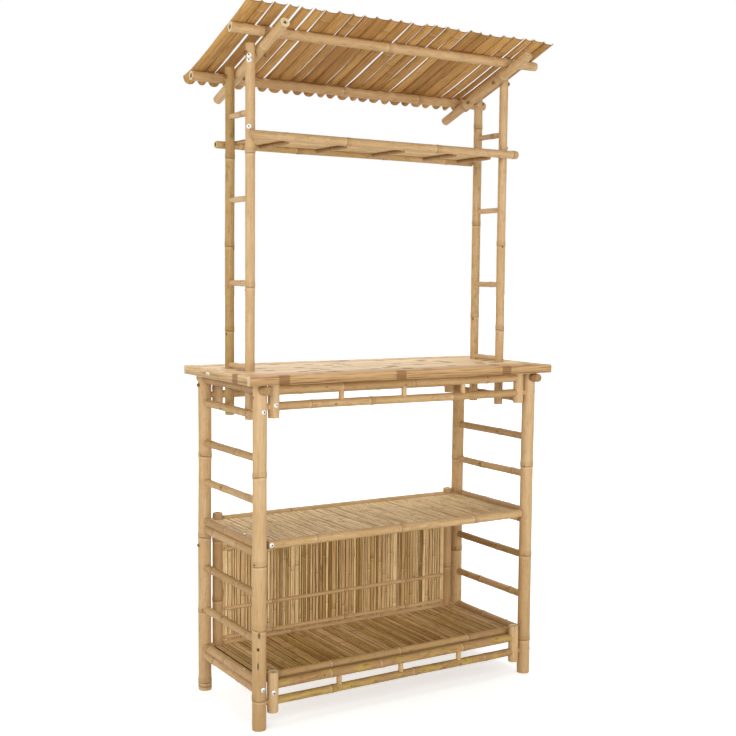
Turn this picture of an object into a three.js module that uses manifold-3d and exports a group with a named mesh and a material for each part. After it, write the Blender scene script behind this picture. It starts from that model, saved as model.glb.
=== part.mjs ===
// Bamboo bar with a slatted roof: a counter on four legs, two shelves and a slatted panel under it,
// and four posts that pass through the counter and carry an upper shelf and a pent roof.
// Millimetres, +Z up. X runs along the counter, -Y is the side with the shelves, +Y the guests' side.

import * as THREE from 'three';
import { mergeVertices } from 'three/addons/utils/BufferGeometryUtils.js';
import Module from 'manifold-3d';

const wasm = await Module();
wasm.setup();

// Fits and cutting allowances
const fit = 0.3;
const cutOverrun = 2;
const weld = 0.6;

// Counter
const counterHeight = 1000;
const counterLength = 1055;
const counterDepth = 455;
const counterThickness = 26;
const counterEdgeWidth = 18;
const counterStripWidth = 22;
const stripGroove = 0.8;

// Legs and the side frames between them
const legDiameter = 40;
const legEndInset = 52.5;
const legFrontInset = 47;
const legBackInset = 35;
const legNodeShares = {
  front_left: [0.09, 0.294, 0.48, 0.735],
  front_right: [0.11, 0.397, 0.694],
  back_left: [0.0185, 0.25, 0.488, 0.743],
  back_right: [0.05, 0.337, 0.664],
};
const tenonDepth = 12;
const railTenonDepth = 6;
const sideRailDiameter = 26;
const sideRailNodeShares = [0.3, 0.74];
const sideRungDiameter = 22.5;
const sideRungNodeShares = [0.62, 0.36];
const topRungDrop = 87;
const openRungCount = 3;
const lowBayRungShares = [0.365, 0.7];

// Shelves under the counter
const midShelfHeight = 526;
const lowShelfHeight = 135;
const shelfRungDiameter = 26;
const shelfRungNodeShares = { upper: [0.56], lower: [0.32] };
const shelfRailDiameter = 26;
const shelfRailDrop = 3;
const shelfRailEndInset = 25;
const shelfRailNodeShares = [0.2, 0.53, 0.74];
const shelfSlatWidth = 27;
const shelfSlatThickness = 7;
const shelfSlatRise = 6;
const shelfSlatUnevenShare = 0.16;
const shelfEndRailDiameter = 24;
const slatGroove = 1.6;

// Short posts, rails and spacers of the aprons, and the frame of the back panel
const shortPostDiameter = 30;
const shortPostGap = 9;
const apronRailDiameter = 24;
const apronTenonDiameter = 18;
const apronRailSpacing = 46;
const apronSpacerDiameter = 16;
const apronSpacerShares = [0.25, 0.5, 0.75];
const apronUpperNodeShares = [0.18, 0.5, 0.77];
const apronLowerNodeShares = [0.33, 0.66];
const counterApronDrop = 17;
const shortPostTail = 32;
const lowApronHeight = 121;
const lowApronRise = 38;
const stileRise = 20;
const stileTail = 24;
const stileNodeShares = [0.37, 0.8];
const panelRailNodeShares = [0.28, 0.69];
const panelSlatWidth = 24;
const panelSlatThickness = 6;
const panelSlatUnevenShare = 0.22;
const panelBattenHeight = 13;
const panelBattenDepth = 8;
const panelBattenShares = [0.012, 0.25, 0.77];

// Posts over the counter
const postDiameter = 28;
const postFrontOffset = -60.5;
const postBackOffset = 73;
const postTail = 138;
const postRungDiameter = 17;
const postRungTenon = 8;
const postRungCount = 4;
const lowestPostRungLift = 10.5;
const postRungPitch = 239;
const postTopRise = 20;
const postNodeShares = {
  front_left: [0.359, 0.714],
  front_right: [0.229, 0.487],
  back_left: [0.245, 0.49, 0.744],
  back_right: [0.278, 0.578, 0.892],
};

// Upper shelf
const upperShelfLift = 649;
const upperFrontRailDiameter = 25;
const upperBackRailDiameter = 22;
const upperFrontRailLift = 14;
const upperFrontRailLength = 939;
const upperBackRailLength = 924;
const upperFrontRailShift = 12.5;
const upperBackRailShift = -20;
const upperFrontRailNodeShares = [0.35, 0.69, 0.98];
const upperBackRailNodeShares = [0.09, 0.29, 0.62, 0.88];
const upperBattenDiameter = 13;
const upperBattenShares = [0.11, 0.34, 0.58, 0.81, 0.97];
const upperSlatThickness = 5;
const upperSlatWidth = 26;
const upperDeckRightInset = 28;

// Roof
const roofPitchDegrees = 19.4;
const rafterDiameter = 28;
const rafterLift = 895;
const rafterFrontReach = 154;
const rafterBackReach = 147.5;
const rafterNodeShares = [0.287, 0.736];
const purlinDiameter = 28;
const purlinLength = 1066;
const purlinHighShare = 0.22;
const purlinLowShare = 0.83;
const purlinNodeGapShares = [0.04, 0.38, 0.65, 0.96];
const roofSlatLength = 468;
const roofSlatHighReach = 12;
const roofSlatCount = 26;
const roofSpan = 1054;
const roofSlatThickness = 4;
const roofSlatSag = 9;
const roofSlatFlatShare = 0.4;
const roofSlatUnevenShare = 0.1;
const roofSlatGap = 2.5;
const holdDownShift = 45;
const holdDownWidth = 22;
const holdDownThickness = 5;

// Bolts through the posts and the rafters
const boltDiameter = 6;
const boltDrop = 8;
const boltHeadDiameter = 11;
const boltHeadHeight = 5;
const washerDiameter = 17;
const washerThickness = 1.6;

// Bamboo culms
const nodeRise = 1.6;
const nodeHalfLength = 7;
const culmWall = 5;
const hollowDepth = 26;

// Roundness of the poles
const legSides = 12;
const poleSides = 8;
const rungSides = 8;

// Places worked out from the sizes above
const legX = counterLength / 2 - legEndInset;
const legFrontY = -counterDepth / 2 + legFrontInset;
const legBackY = counterDepth / 2 - legBackInset;
const legRadius = legDiameter / 2;
const counterUnderside = counterHeight - counterThickness;
const sideRailZ = counterUnderside - nodeRise - fit - sideRailDiameter / 2;
const shortPostX = legX - legRadius - shortPostGap - shortPostDiameter / 2;
const shelfPairSpacing = shelfRungDiameter - weld;
const topRungHeight = counterUnderside - topRungDrop;
const upperShelfHeight = counterHeight + upperShelfLift;
const rafterHeight = counterHeight + rafterLift;
const postX = legX - sideRailDiameter / 2 - postDiameter / 2 - fit;
const rafterX = postX - postDiameter / 2 - rafterDiameter / 2 - fit;
const roofPitch = THREE.MathUtils.degToRad(roofPitchDegrees);
const sides = [['left', -1], ['right', 1]];

const bamboo = new THREE.MeshStandardMaterial({ color: 0xc9a468, roughness: 0.55, metalness: 0 });
const splitBamboo = new THREE.MeshStandardMaterial({ color: 0xb98f55, roughness: 0.6, metalness: 0 });
const counterWood = new THREE.MeshStandardMaterial({ color: 0xd2a968, roughness: 0.5, metalness: 0 });
const zincSteel = new THREE.MeshStandardMaterial({ color: 0xd6d6d2, roughness: 0.35, metalness: 0.9 });

const at = (x, y, z) => new THREE.Vector3(x, y, z);

// A solid made from a closed three.js geometry
function solid(geometry) {
  const bare = geometry.clone();
  bare.deleteAttribute('normal');
  bare.deleteAttribute('uv');
  const merged = mergeVertices(bare);
  return new wasm.Manifold(new wasm.Mesh({
    numProp: 3,
    vertProperties: new Float32Array(merged.attributes.position.array),
    triVerts: new Uint32Array(merged.index.array),
  }));
}

function join(...solids) {
  return solids.reduce((whole, next) => whole.add(next));
}

function cut(whole, ...tools) {
  return tools.reduce((left, tool) => left.subtract(tool), whole);
}

// Turns a shape that stands on the origin along +Z so that it runs from one point towards another
function aim(geometry, from, to) {
  const direction = to.clone().sub(from).normalize();
  const turn = new THREE.Quaternion().setFromUnitVectors(at(0, 0, 1), direction);
  geometry.applyQuaternion(turn);
  geometry.translate(from.x, from.y, from.z);
  return geometry;
}

// A round body about the line between two points; each profile pair is a radius and a distance along it
function turned(from, to, profile, facets, roll = 0) {
  const outline = profile.map(([radius, along]) => new THREE.Vector2(radius, along));
  const geometry = new THREE.LatheGeometry(outline, facets);
  geometry.rotateX(Math.PI / 2);
  geometry.rotateZ(roll);
  return solid(aim(geometry, from, to));
}

function rod(from, to, diameter, facets) {
  const length = from.distanceTo(to);
  return turned(from, to, [[0, 0], [diameter / 2, 0], [diameter / 2, length], [0, length]], facets);
}

// The ring-like swelling of a bamboo node
function nodeRings(radius, along) {
  return [
    [radius, along - nodeHalfLength],
    [radius + nodeRise, along],
    [radius, along + nodeHalfLength],
  ];
}

// A culm between two points: a pole with nodes at shares of its length and, where an end shows, a bore;
// roll turns its corners about its own line
function culm(from, to, diameter, options = {}) {
  const { nodeShares = [], openStart = false, openEnd = false, facets = poleSides, roll = 0 } = options;
  const length = from.distanceTo(to);
  const radius = diameter / 2;
  const bore = radius - culmWall;
  const start = openStart ? [[0, hollowDepth], [bore, hollowDepth], [bore, 0]] : [[0, 0]];
  const end = openEnd
    ? [[bore, length], [bore, length - hollowDepth], [0, length - hollowDepth]]
    : [[0, length]];
  const rings = nodeShares.flatMap((share) => nodeRings(radius, share * length));
  return turned(from, to, [...start, [radius, 0], ...rings, [radius, length], ...end], facets, roll);
}

// A pole with a full-bodied middle and a thinner tenon at each end
function tenonedCulm(from, to, diameter, tenonDiameter, shoulder, nodeShares) {
  const length = from.distanceTo(to);
  const radius = diameter / 2;
  const neck = tenonDiameter / 2;
  const body = length - 2 * shoulder;
  const rings = nodeShares.flatMap((share) => nodeRings(radius, shoulder + share * body));
  const profile = [
    [0, 0], [neck, 0], [neck, shoulder], [radius, shoulder],
    ...rings,
    [radius, length - shoulder], [neck, length - shoulder], [neck, length], [0, length],
  ];
  return turned(from, to, profile, poleSides);
}

// An outline, given as pairs across and up, drawn out along the third direction from its origin
function drawnOut(outline, length, acrossAxis, upAxis, origin) {
  const shape = new THREE.Shape(outline.map(([across, up]) => new THREE.Vector2(across, up)));
  const geometry = new THREE.ExtrudeGeometry(shape, { depth: length, bevelEnabled: false });
  const alongAxis = acrossAxis.clone().cross(upAxis);
  geometry.applyMatrix4(new THREE.Matrix4().makeBasis(acrossAxis, upAxis, alongAxis));
  geometry.translate(origin.x, origin.y, origin.z);
  return solid(geometry);
}

function bar(low, high) {
  const size = high.clone().sub(low);
  const geometry = new THREE.BoxGeometry(size.x, size.y, size.z);
  const middle = low.clone().add(high).multiplyScalar(0.5);
  geometry.translate(middle.x, middle.y, middle.z);
  return solid(geometry);
}

// Uneven widths for a field of slats: the edges between them, from one side to the other
function slatEdges(start, end, typicalWidth, unevenShare) {
  const count = Math.round((end - start) / typicalWidth);
  const pitch = (end - start) / count;
  return Array.from({ length: count + 1 }, (_, index) => {
    const inner = index > 0 && index < count;
    const wander = inner ? unevenShare * pitch * Math.sin(index * index) : 0;
    return start + index * pitch + wander;
  });
}

// The outline of slats laid side by side, with a V groove along each joint
function slatOutline(edges, bottom, top, groove) {
  const crest = edges.slice(1).flatMap((edge, index) => [
    [edges[index] + groove, top],
    [edge - groove, top],
    [edge, top - groove],
  ]);
  const first = edges[0];
  const last = edges[edges.length - 1];
  return [[first, bottom], [last, bottom], ...[[first, top - groove], ...crest].reverse()];
}

const pieces = [];

function addPiece(name, shape, material) {
  const { numProp, vertProperties, triVerts } = shape.getMesh();
  const geometry = new THREE.BufferGeometry();
  geometry.setAttribute('position', new THREE.BufferAttribute(new Float32Array(vertProperties), numProp));
  geometry.setIndex(new THREE.BufferAttribute(new Uint32Array(triVerts), 1));
  geometry.computeVertexNormals();
  const mesh = new THREE.Mesh(geometry, material);
  mesh.name = name;
  pieces.push(mesh);
}

// Heights of the rungs in one side frame: single ones, and the paired ones that flank each shelf
function rungHeights() {
  const pitch = (topRungHeight - midShelfHeight) / openRungCount;
  const open = Array.from({ length: openRungCount }, (_, index) => topRungHeight - index * pitch);
  const bay = midShelfHeight - lowShelfHeight;
  const low = lowBayRungShares.map((share) => midShelfHeight - share * bay);
  return [...open, ...low];
}

const shelfPairs = [['mid', midShelfHeight], ['low', lowShelfHeight]];
const rungFrontY = legFrontY + legRadius - tenonDepth;
const rungBackY = legBackY - legRadius + tenonDepth;
const apronLowRailZ = counterUnderside - counterApronDrop - apronRailSpacing;
const lowApronLowRailZ = lowApronHeight - apronRailSpacing;
const apronTenonEndX = legX - legRadius + railTenonDepth;
const midRailZ = midShelfHeight - shelfRailDrop;
const lowRailZ = lowShelfHeight - shelfRailDrop;

// Heights at which the tenons of rails that run along X enter a leg
function railHeights(end) {
  return end === 'front' ? [apronLowRailZ, lowApronLowRailZ] : [apronLowRailZ, midRailZ, lowRailZ];
}

// A leg: its top is notched for the side rail, and each rung and rail has a blind mortise
function leg(sideName, side, end) {
  const x = side * legX;
  const y = end === 'front' ? legFrontY : legBackY;
  const inwardY = end === 'front' ? 1 : -1;
  const nodeShares = legNodeShares[`${end}_${sideName}`];
  const post = culm(at(x, y, 0), at(x, y, counterUnderside - fit), legDiameter, { nodeShares, facets: legSides });
  const reach = legRadius + cutOverrun;
  const saddleDiameter = sideRailDiameter + 2 * fit;
  const saddle = rod(at(x, y - reach, sideRailZ), at(x, y + reach, sideRailZ), saddleDiameter, poleSides);
  const mouth = bar(
    at(x - saddleDiameter / 2, y - reach, sideRailZ),
    at(x + saddleDiameter / 2, y + reach, counterUnderside + cutOverrun),
  );
  const mortiseEnd = y + inwardY * (legRadius - tenonDepth - fit);
  const rungMortise = (z, diameter) => rod(
    at(x, y + inwardY * reach, z), at(x, mortiseEnd, z), diameter + 2 * fit, rungSides,
  );
  const pairMortises = shelfPairs.flatMap(([, z]) => [
    rungMortise(z, shelfRungDiameter),
    rungMortise(z - shelfPairSpacing, shelfRungDiameter),
  ]);
  const railMortises = railHeights(end).map((z) => rod(
    at(x - side * reach, y, z),
    at(side * (apronTenonEndX + fit), y, z),
    apronTenonDiameter + 2 * fit,
    poleSides,
  ));
  return cut(
    post, saddle, mouth, ...pairMortises, ...railMortises,
    ...rungHeights().map((z) => rungMortise(z, sideRungDiameter)),
  );
}

// The rungs of one side frame, each with its tenons in a front and a back leg
function addSideFrame(sideName, side) {
  const x = side * legX;
  const span = (z, diameter, nodeShares) => culm(
    at(x, rungFrontY, z), at(x, rungBackY, z), diameter, { nodeShares, facets: rungSides },
  );
  addPiece(`leg_front_${sideName}`, leg(sideName, side, 'front'), bamboo);
  addPiece(`leg_back_${sideName}`, leg(sideName, side, 'back'), bamboo);
  const topRail = culm(
    at(x, -counterDepth / 2, sideRailZ), at(x, counterDepth / 2, sideRailZ), sideRailDiameter,
    { nodeShares: sideRailNodeShares, openStart: true, openEnd: true },
  );
  addPiece(`side_top_rail_${sideName}`, topRail, bamboo);
  rungHeights().forEach((z, index) => {
    const nodeShare = sideRungNodeShares[index % sideRungNodeShares.length];
    addPiece(`side_rung_${sideName}_${index + 1}`, span(z, sideRungDiameter, [nodeShare]), bamboo);
  });
  shelfPairs.forEach(([shelfName, z]) => {
    const upper = span(z, shelfRungDiameter, shelfRungNodeShares.upper);
    const lower = span(z - shelfPairSpacing, shelfRungDiameter, shelfRungNodeShares.lower);
    addPiece(`${shelfName}_shelf_rung_pair_${sideName}`, join(upper, lower), bamboo);
  });
}

// The counter: strips laid along X inside four edge pieces, with round holes for the posts
function addCounter() {
  const halfLength = counterLength / 2;
  const halfDepth = counterDepth / 2;
  const fieldX = halfLength - counterEdgeWidth - fit;
  const fieldY = halfDepth - counterEdgeWidth - fit;
  const edges = slatEdges(-fieldY, fieldY, counterStripWidth, 0);
  const outline = slatOutline(edges, counterUnderside, counterHeight, stripGroove);
  const field = drawnOut(outline, 2 * fieldX, at(0, 1, 0), at(0, 0, 1), at(-fieldX, 0, 0));
  const holes = sides.flatMap(([, side]) => [postFrontOffset, postBackOffset].map((y) => rod(
    at(side * postX, y, counterUnderside - cutOverrun),
    at(side * postX, y, counterHeight + cutOverrun),
    postDiameter + 2 * fit,
    poleSides,
  )));
  addPiece('counter_field', cut(field, ...holes), counterWood);
  [['front', -1], ['back', 1]].forEach(([name, side]) => {
    const outer = side * halfDepth;
    const inner = side * (halfDepth - counterEdgeWidth);
    const low = at(-halfLength, Math.min(outer, inner), counterUnderside);
    const high = at(halfLength, Math.max(outer, inner), counterHeight);
    addPiece(`counter_${name}_edge`, bar(low, high), counterWood);
  });
  sides.forEach(([name, side]) => {
    const outer = side * halfLength;
    const inner = side * (halfLength - counterEdgeWidth);
    const low = at(Math.min(outer, inner), -fieldY, counterUnderside);
    const high = at(Math.max(outer, inner), fieldY, counterHeight);
    addPiece(`counter_${name}_edge`, bar(low, high), counterWood);
  });
}

// An apron: two short posts beside the legs, two rails and three spacers; the lower rail reaches the legs
function apron(y, upperRailZ, postBottom, postTop, openEnds) {
  const lowerRailZ = upperRailZ - apronRailSpacing;
  const shortPosts = sides.map(([, side]) => culm(
    at(side * shortPostX, y, postBottom), at(side * shortPostX, y, postTop), shortPostDiameter, openEnds,
  ));
  const upperRail = culm(
    at(-shortPostX, y, upperRailZ), at(shortPostX, y, upperRailZ), apronRailDiameter,
    { nodeShares: apronUpperNodeShares },
  );
  const shoulder = apronTenonEndX - shortPostX;
  const lowerRail = tenonedCulm(
    at(-apronTenonEndX, y, lowerRailZ), at(apronTenonEndX, y, lowerRailZ),
    apronRailDiameter, apronTenonDiameter, shoulder, apronLowerNodeShares,
  );
  const spacers = apronSpacerShares.map((share) => {
    const x = THREE.MathUtils.lerp(-shortPostX, shortPostX, share);
    return rod(at(x, y, lowerRailZ), at(x, y, upperRailZ), apronSpacerDiameter, rungSides);
  });
  return join(...shortPosts, upperRail, lowerRail, ...spacers);
}

function addAprons() {
  const counterRailZ = counterUnderside - counterApronDrop;
  const counterPostBottom = counterRailZ - apronRailSpacing - shortPostTail;
  const counterPostTop = counterUnderside - fit;
  [['front', legFrontY], ['back', legBackY]].forEach(([name, y]) => {
    const shape = apron(y, counterRailZ, counterPostBottom, counterPostTop, { openStart: true });
    addPiece(`counter_${name}_apron`, shape, bamboo);
  });
  const lowPostBottom = lowApronHeight - apronRailSpacing - shortPostTail;
  const lowPostTop = lowApronHeight + lowApronRise;
  const lowApron = apron(legFrontY, lowApronHeight, lowPostBottom, lowPostTop, { openEnd: true });
  addPiece('low_front_apron', lowApron, bamboo);
}

// A shelf: a front rail, slats laid front to back, and two end rails under the slats beside the legs
function shelf(railZ, railY, railHalfLength) {
  const slatTop = railZ + shelfSlatRise;
  const slatBottom = slatTop - shelfSlatThickness;
  const deckHalf = legX - shelfRungDiameter / 2 - nodeRise - fit;
  const deckBackY = legBackY - shortPostDiameter / 2 - fit;
  const edges = slatEdges(-deckHalf, deckHalf, shelfSlatWidth, shelfSlatUnevenShare);
  const outline = slatOutline(edges, slatBottom, slatTop, slatGroove);
  const slats = drawnOut(outline, deckBackY - railY, at(1, 0, 0), at(0, 0, 1), at(0, deckBackY, 0));
  const frontRail = culm(
    at(-railHalfLength, railY, railZ), at(railHalfLength, railY, railZ), shelfRailDiameter,
    { nodeShares: shelfRailNodeShares, openStart: true, openEnd: true },
  );
  const endRailX = legX - legRadius - fit - shelfEndRailDiameter / 2;
  const endRailZ = slatBottom + weld - shelfEndRailDiameter / 2;
  const endRails = sides.map(([, side]) => rod(
    at(side * endRailX, railY, endRailZ), at(side * endRailX, deckBackY, endRailZ),
    shelfEndRailDiameter, rungSides,
  ));
  const legRoom = sides.flatMap(([, side]) => [legFrontY, legBackY].map((y) => rod(
    at(side * legX, y, slatBottom - shelfEndRailDiameter), at(side * legX, y, slatTop + shelfRailDiameter),
    legDiameter + 2 * (nodeRise + fit), legSides,
  )));
  return cut(join(slats, frontRail, ...endRails), ...legRoom);
}

function addShelves() {
  addPiece('mid_shelf', shelf(midRailZ, legFrontY, legX - shelfRailEndInset), splitBamboo);
  const setBackY = legFrontY + legRadius + nodeRise + fit + shelfRailDiameter / 2;
  addPiece('low_shelf', shelf(lowRailZ, setBackY, legX - shelfRungDiameter / 2 - nodeRise - fit), splitBamboo);
}

// The panel behind the lower bay: two stiles, two rails whose tenons reach the legs, and upright slats
function addPanel() {
  const railRadius = shelfRailDiameter / 2;
  const stileTop = midShelfHeight + stileRise;
  const stileBottom = lowShelfHeight - stileTail;
  const tenonHole = (z) => rod(
    at(-shortPostX - shortPostDiameter, legBackY, z), at(shortPostX + shortPostDiameter, legBackY, z),
    apronTenonDiameter + 2 * fit, poleSides,
  );
  const holes = [tenonHole(midRailZ), tenonHole(lowRailZ)];
  sides.forEach(([name, side]) => {
    const stile = culm(
      at(side * shortPostX, legBackY, stileBottom), at(side * shortPostX, legBackY, stileTop),
      shortPostDiameter, { nodeShares: stileNodeShares, openEnd: true },
    );
    addPiece(`panel_stile_${name}`, cut(stile, ...holes), bamboo);
  });
  const shoulder = apronTenonEndX - (shortPostX - shortPostDiameter / 2 - fit);
  [['top', midRailZ], ['bottom', lowRailZ]].forEach(([name, z]) => {
    const rail = tenonedCulm(
      at(-apronTenonEndX, legBackY, z), at(apronTenonEndX, legBackY, z),
      shelfRailDiameter, apronTenonDiameter, shoulder, panelRailNodeShares,
    );
    addPiece(`panel_${name}_rail`, rail, bamboo);
  });
  const slatBottomZ = lowRailZ + railRadius + nodeRise + fit;
  const slatTopZ = midRailZ - railRadius - nodeRise - fit;
  const height = slatTopZ - slatBottomZ;
  const half = shortPostX - shortPostDiameter / 2 - nodeRise - fit;
  const edges = slatEdges(-half, half, panelSlatWidth, panelSlatUnevenShare);
  const slatInnerY = legBackY - panelSlatThickness / 2;
  const outline = slatOutline(edges, slatInnerY, slatInnerY + panelSlatThickness, slatGroove);
  const slats = drawnOut(outline, height, at(1, 0, 0), at(0, 1, 0), at(0, 0, slatBottomZ));
  const battenBackY = slatInnerY + weld;
  const battens = panelBattenShares.map((share) => {
    const bottom = slatBottomZ + share * height;
    return bar(
      at(-half, battenBackY - panelBattenDepth, bottom), at(half, battenBackY, bottom + panelBattenHeight),
    );
  });
  addPiece('panel_slats', join(slats, ...battens), splitBamboo);
}

// A point on the middle line of the rafters, by its distance down the slope from the front posts
function onRafter(x, alongSlope, above = 0) {
  return at(
    x,
    postFrontOffset + alongSlope * Math.cos(roofPitch) + above * Math.sin(roofPitch),
    rafterHeight - alongSlope * Math.sin(roofPitch) + above * Math.cos(roofPitch),
  );
}

const rafterStart = -rafterFrontReach / Math.cos(roofPitch);
const backPostAlong = (postBackOffset - postFrontOffset) / Math.cos(roofPitch);
const rafterEnd = backPostAlong + rafterBackReach / Math.cos(roofPitch);
const boltPlaces = [['front', postFrontOffset, 0], ['back', postBackOffset, backPostAlong]];

// The bolt at a post: a washer and head outside the post, a shank, and a nut inside the rafter
function rafterBolt(side, along) {
  const outside = postX + postDiameter / 2 + fit;
  const inside = rafterX - rafterDiameter / 2 - fit;
  const point = (x) => onRafter(side * x, along, -boltDrop);
  const head = rod(point(outside), point(outside + washerThickness + boltHeadHeight), boltHeadDiameter, rungSides);
  const washer = rod(point(outside), point(outside + washerThickness), washerDiameter, poleSides);
  const nut = rod(point(inside), point(inside - boltHeadHeight), boltHeadDiameter, rungSides);
  const shank = rod(point(inside - boltHeadHeight / 2), point(outside + washerThickness), boltDiameter, rungSides);
  return join(head, washer, nut, shank);
}

function boltHole(side, along) {
  const outside = postX + postDiameter;
  const inside = rafterX - rafterDiameter;
  const point = (x) => onRafter(side * x, along, -boltDrop);
  return rod(point(inside), point(outside), boltDiameter + 2 * fit, rungSides);
}

// The posts with their rungs: each post starts under the counter and ends beside its rafter
function addPosts() {
  const bottom = counterHeight - postTail;
  const rungHeight = (index) => counterHeight + lowestPostRungLift + index * postRungPitch;
  const rungIndexes = Array.from({ length: postRungCount }, (_, index) => index);
  const inset = postDiameter / 2 - postRungTenon;
  const rungFront = postFrontOffset + inset;
  const rungBack = postBackOffset - inset;
  sides.forEach(([sideName, side]) => {
    const x = side * postX;
    const mortises = rungIndexes.map((index) => rod(
      at(x, rungFront - fit, rungHeight(index)), at(x, rungBack + fit, rungHeight(index)),
      postRungDiameter + 2 * fit, rungSides,
    ));
    boltPlaces.forEach(([end, y, along]) => {
      const top = onRafter(x, along).z + postTopRise;
      const nodeShares = postNodeShares[`${end}_${sideName}`];
      const post = culm(at(x, y, bottom), at(x, y, top), postDiameter, { nodeShares, openEnd: true });
      addPiece(`post_${end}_${sideName}`, cut(post, boltHole(side, along), ...mortises), bamboo);
    });
    rungIndexes.forEach((index) => {
      const z = rungHeight(index);
      const rung = rod(at(x, rungFront, z), at(x, rungBack, z), postRungDiameter, rungSides);
      addPiece(`post_rung_${sideName}_${index + 1}`, rung, bamboo);
    });
  });
}

// The upper shelf: a front rail before the posts, a back rail behind them, and a slatted deck on battens
function addUpperShelf() {
  const postRadius = postDiameter / 2;
  const frontRailY = postFrontOffset - postRadius - fit - upperFrontRailDiameter / 2;
  const backRailY = postBackOffset + postRadius + fit + upperBackRailDiameter / 2;
  const frontRail = (slack) => culm(
    at(upperFrontRailShift - upperFrontRailLength / 2, frontRailY, upperShelfHeight + upperFrontRailLift),
    at(upperFrontRailShift + upperFrontRailLength / 2, frontRailY, upperShelfHeight + upperFrontRailLift),
    upperFrontRailDiameter + 2 * slack,
    { nodeShares: upperFrontRailNodeShares, openStart: !slack, openEnd: !slack },
  );
  const backRail = (slack) => culm(
    at(upperBackRailShift - upperBackRailLength / 2, backRailY, upperShelfHeight),
    at(upperBackRailShift + upperBackRailLength / 2, backRailY, upperShelfHeight),
    upperBackRailDiameter + 2 * slack,
    { nodeShares: upperBackRailNodeShares, openStart: !slack, openEnd: !slack },
  );
  addPiece('upper_shelf_front_rail', frontRail(0), bamboo);
  addPiece('upper_shelf_back_rail', backRail(0), bamboo);
  const leftX = -(postX - postRadius - nodeRise - fit);
  const rightX = postX - postRadius - upperDeckRightInset;
  const frontY = frontRailY + upperFrontRailDiameter / 2;
  const backY = backRailY - upperBackRailDiameter / 2;
  const slatBottom = upperShelfHeight + upperBattenDiameter / 2 - weld;
  const edges = slatEdges(frontY, backY, upperSlatWidth, 0);
  const outline = slatOutline(edges, slatBottom, slatBottom + upperSlatThickness, slatGroove);
  const slats = drawnOut(outline, rightX - leftX, at(0, 1, 0), at(0, 0, 1), at(leftX, 0, 0));
  const battens = upperBattenShares.map((share) => {
    const x = THREE.MathUtils.lerp(leftX, rightX, share);
    return rod(at(x, frontRailY, upperShelfHeight), at(x, backY, upperShelfHeight), upperBattenDiameter, rungSides);
  });
  addPiece('upper_shelf_deck', cut(join(slats, ...battens), frontRail(fit), backRail(fit)), splitBamboo);
}

// The section of one roof slat: a split culm, bark side down, between two edges
function roofSlatSection(left, right) {
  const half = (right - left) / 2;
  const middle = (left + right) / 2;
  const flat = roofSlatFlatShare * half;
  const lower = [[left, roofSlatSag], [middle - flat, 0], [middle + flat, 0], [right, roofSlatSag]];
  const upper = lower.map(([across, up]) => [across, up + roofSlatThickness]).reverse();
  return [...lower, ...upper];
}

// The roof: rafters bolted inside the posts, purlins across them, and slats that run down the slope
function addRoof() {
  const purlinAbove = rafterDiameter / 2 + purlinDiameter / 2 + fit;
  const purlinAlong = (share) => THREE.MathUtils.lerp(rafterStart, rafterEnd, share);
  sides.forEach(([sideName, side]) => {
    const rafter = culm(
      onRafter(side * rafterX, rafterStart), onRafter(side * rafterX, rafterEnd), rafterDiameter,
      { nodeShares: rafterNodeShares, openStart: true, openEnd: true },
    );
    const holes = boltPlaces.map(([, , along]) => boltHole(side, along));
    addPiece(`rafter_${sideName}`, cut(rafter, ...holes), bamboo);
    boltPlaces.forEach(([end, , along]) => {
      addPiece(`rafter_bolt_${end}_${sideName}`, rafterBolt(side, along), zincSteel);
    });
  });
  const edges = slatEdges(-roofSpan / 2, roofSpan / 2, roofSpan / roofSlatCount, roofSlatUnevenShare);
  const purlinNodeShares = purlinNodeGapShares.map((share) => {
    const gapX = edges[Math.round(share * roofSlatCount)];
    return (gapX + purlinLength / 2) / purlinLength;
  });
  [['high', purlinHighShare], ['low', purlinLowShare]].forEach(([name, share]) => {
    const purlin = culm(
      onRafter(-purlinLength / 2, purlinAlong(share), purlinAbove),
      onRafter(purlinLength / 2, purlinAlong(share), purlinAbove),
      purlinDiameter,
      { nodeShares: purlinNodeShares, openStart: true, openEnd: true, roll: roofPitch },
    );
    addPiece(`purlin_${name}`, purlin, bamboo);
  });
  const slatAbove = purlinAbove + purlinDiameter / 2 + fit;
  const slatStart = rafterStart - roofSlatHighReach;
  const upAxis = at(0, Math.sin(roofPitch), Math.cos(roofPitch));
  const lowEnd = onRafter(0, slatStart + roofSlatLength, slatAbove);
  const slats = edges.slice(1).map((edge, index) => drawnOut(
    roofSlatSection(edges[index] + roofSlatGap / 2, edge - roofSlatGap / 2),
    roofSlatLength, at(1, 0, 0), upAxis, lowEnd,
  ));
  const stripAbove = roofSlatSag + roofSlatThickness - weld;
  const strips = [purlinHighShare, purlinLowShare].map((share) => {
    const half = holdDownWidth / 2;
    const outline = [[-half, 0], [half, 0], [half, holdDownThickness], [-half, holdDownThickness]];
    const along = purlinAlong(share) + holdDownShift;
    const origin = onRafter(-roofSpan / 2, along, slatAbove + stripAbove);
    const downSlope = at(0, Math.cos(roofPitch), -Math.sin(roofPitch));
    return drawnOut(outline, roofSpan, downSlope, upAxis, origin);
  });
  addPiece('roof_slats', join(...strips, ...slats), splitBamboo);
}

sides.forEach(([sideName, side]) => addSideFrame(sideName, side));
addCounter();
addAprons();
addShelves();
addPanel();
addPosts();
addUpperShelf();
addRoof();

// The origin lies on the floor, under the middle of the whole hut
const frameOfCounter = new THREE.Group();
pieces.forEach((piece) => frameOfCounter.add(piece));
const middle = new THREE.Box3().setFromObject(frameOfCounter).getCenter(at(0, 0, 0));
frameOfCounter.position.set(-middle.x, -middle.y, 0);

const hut = new THREE.Group();
hut.add(frameOfCounter);

export default hut;
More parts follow.
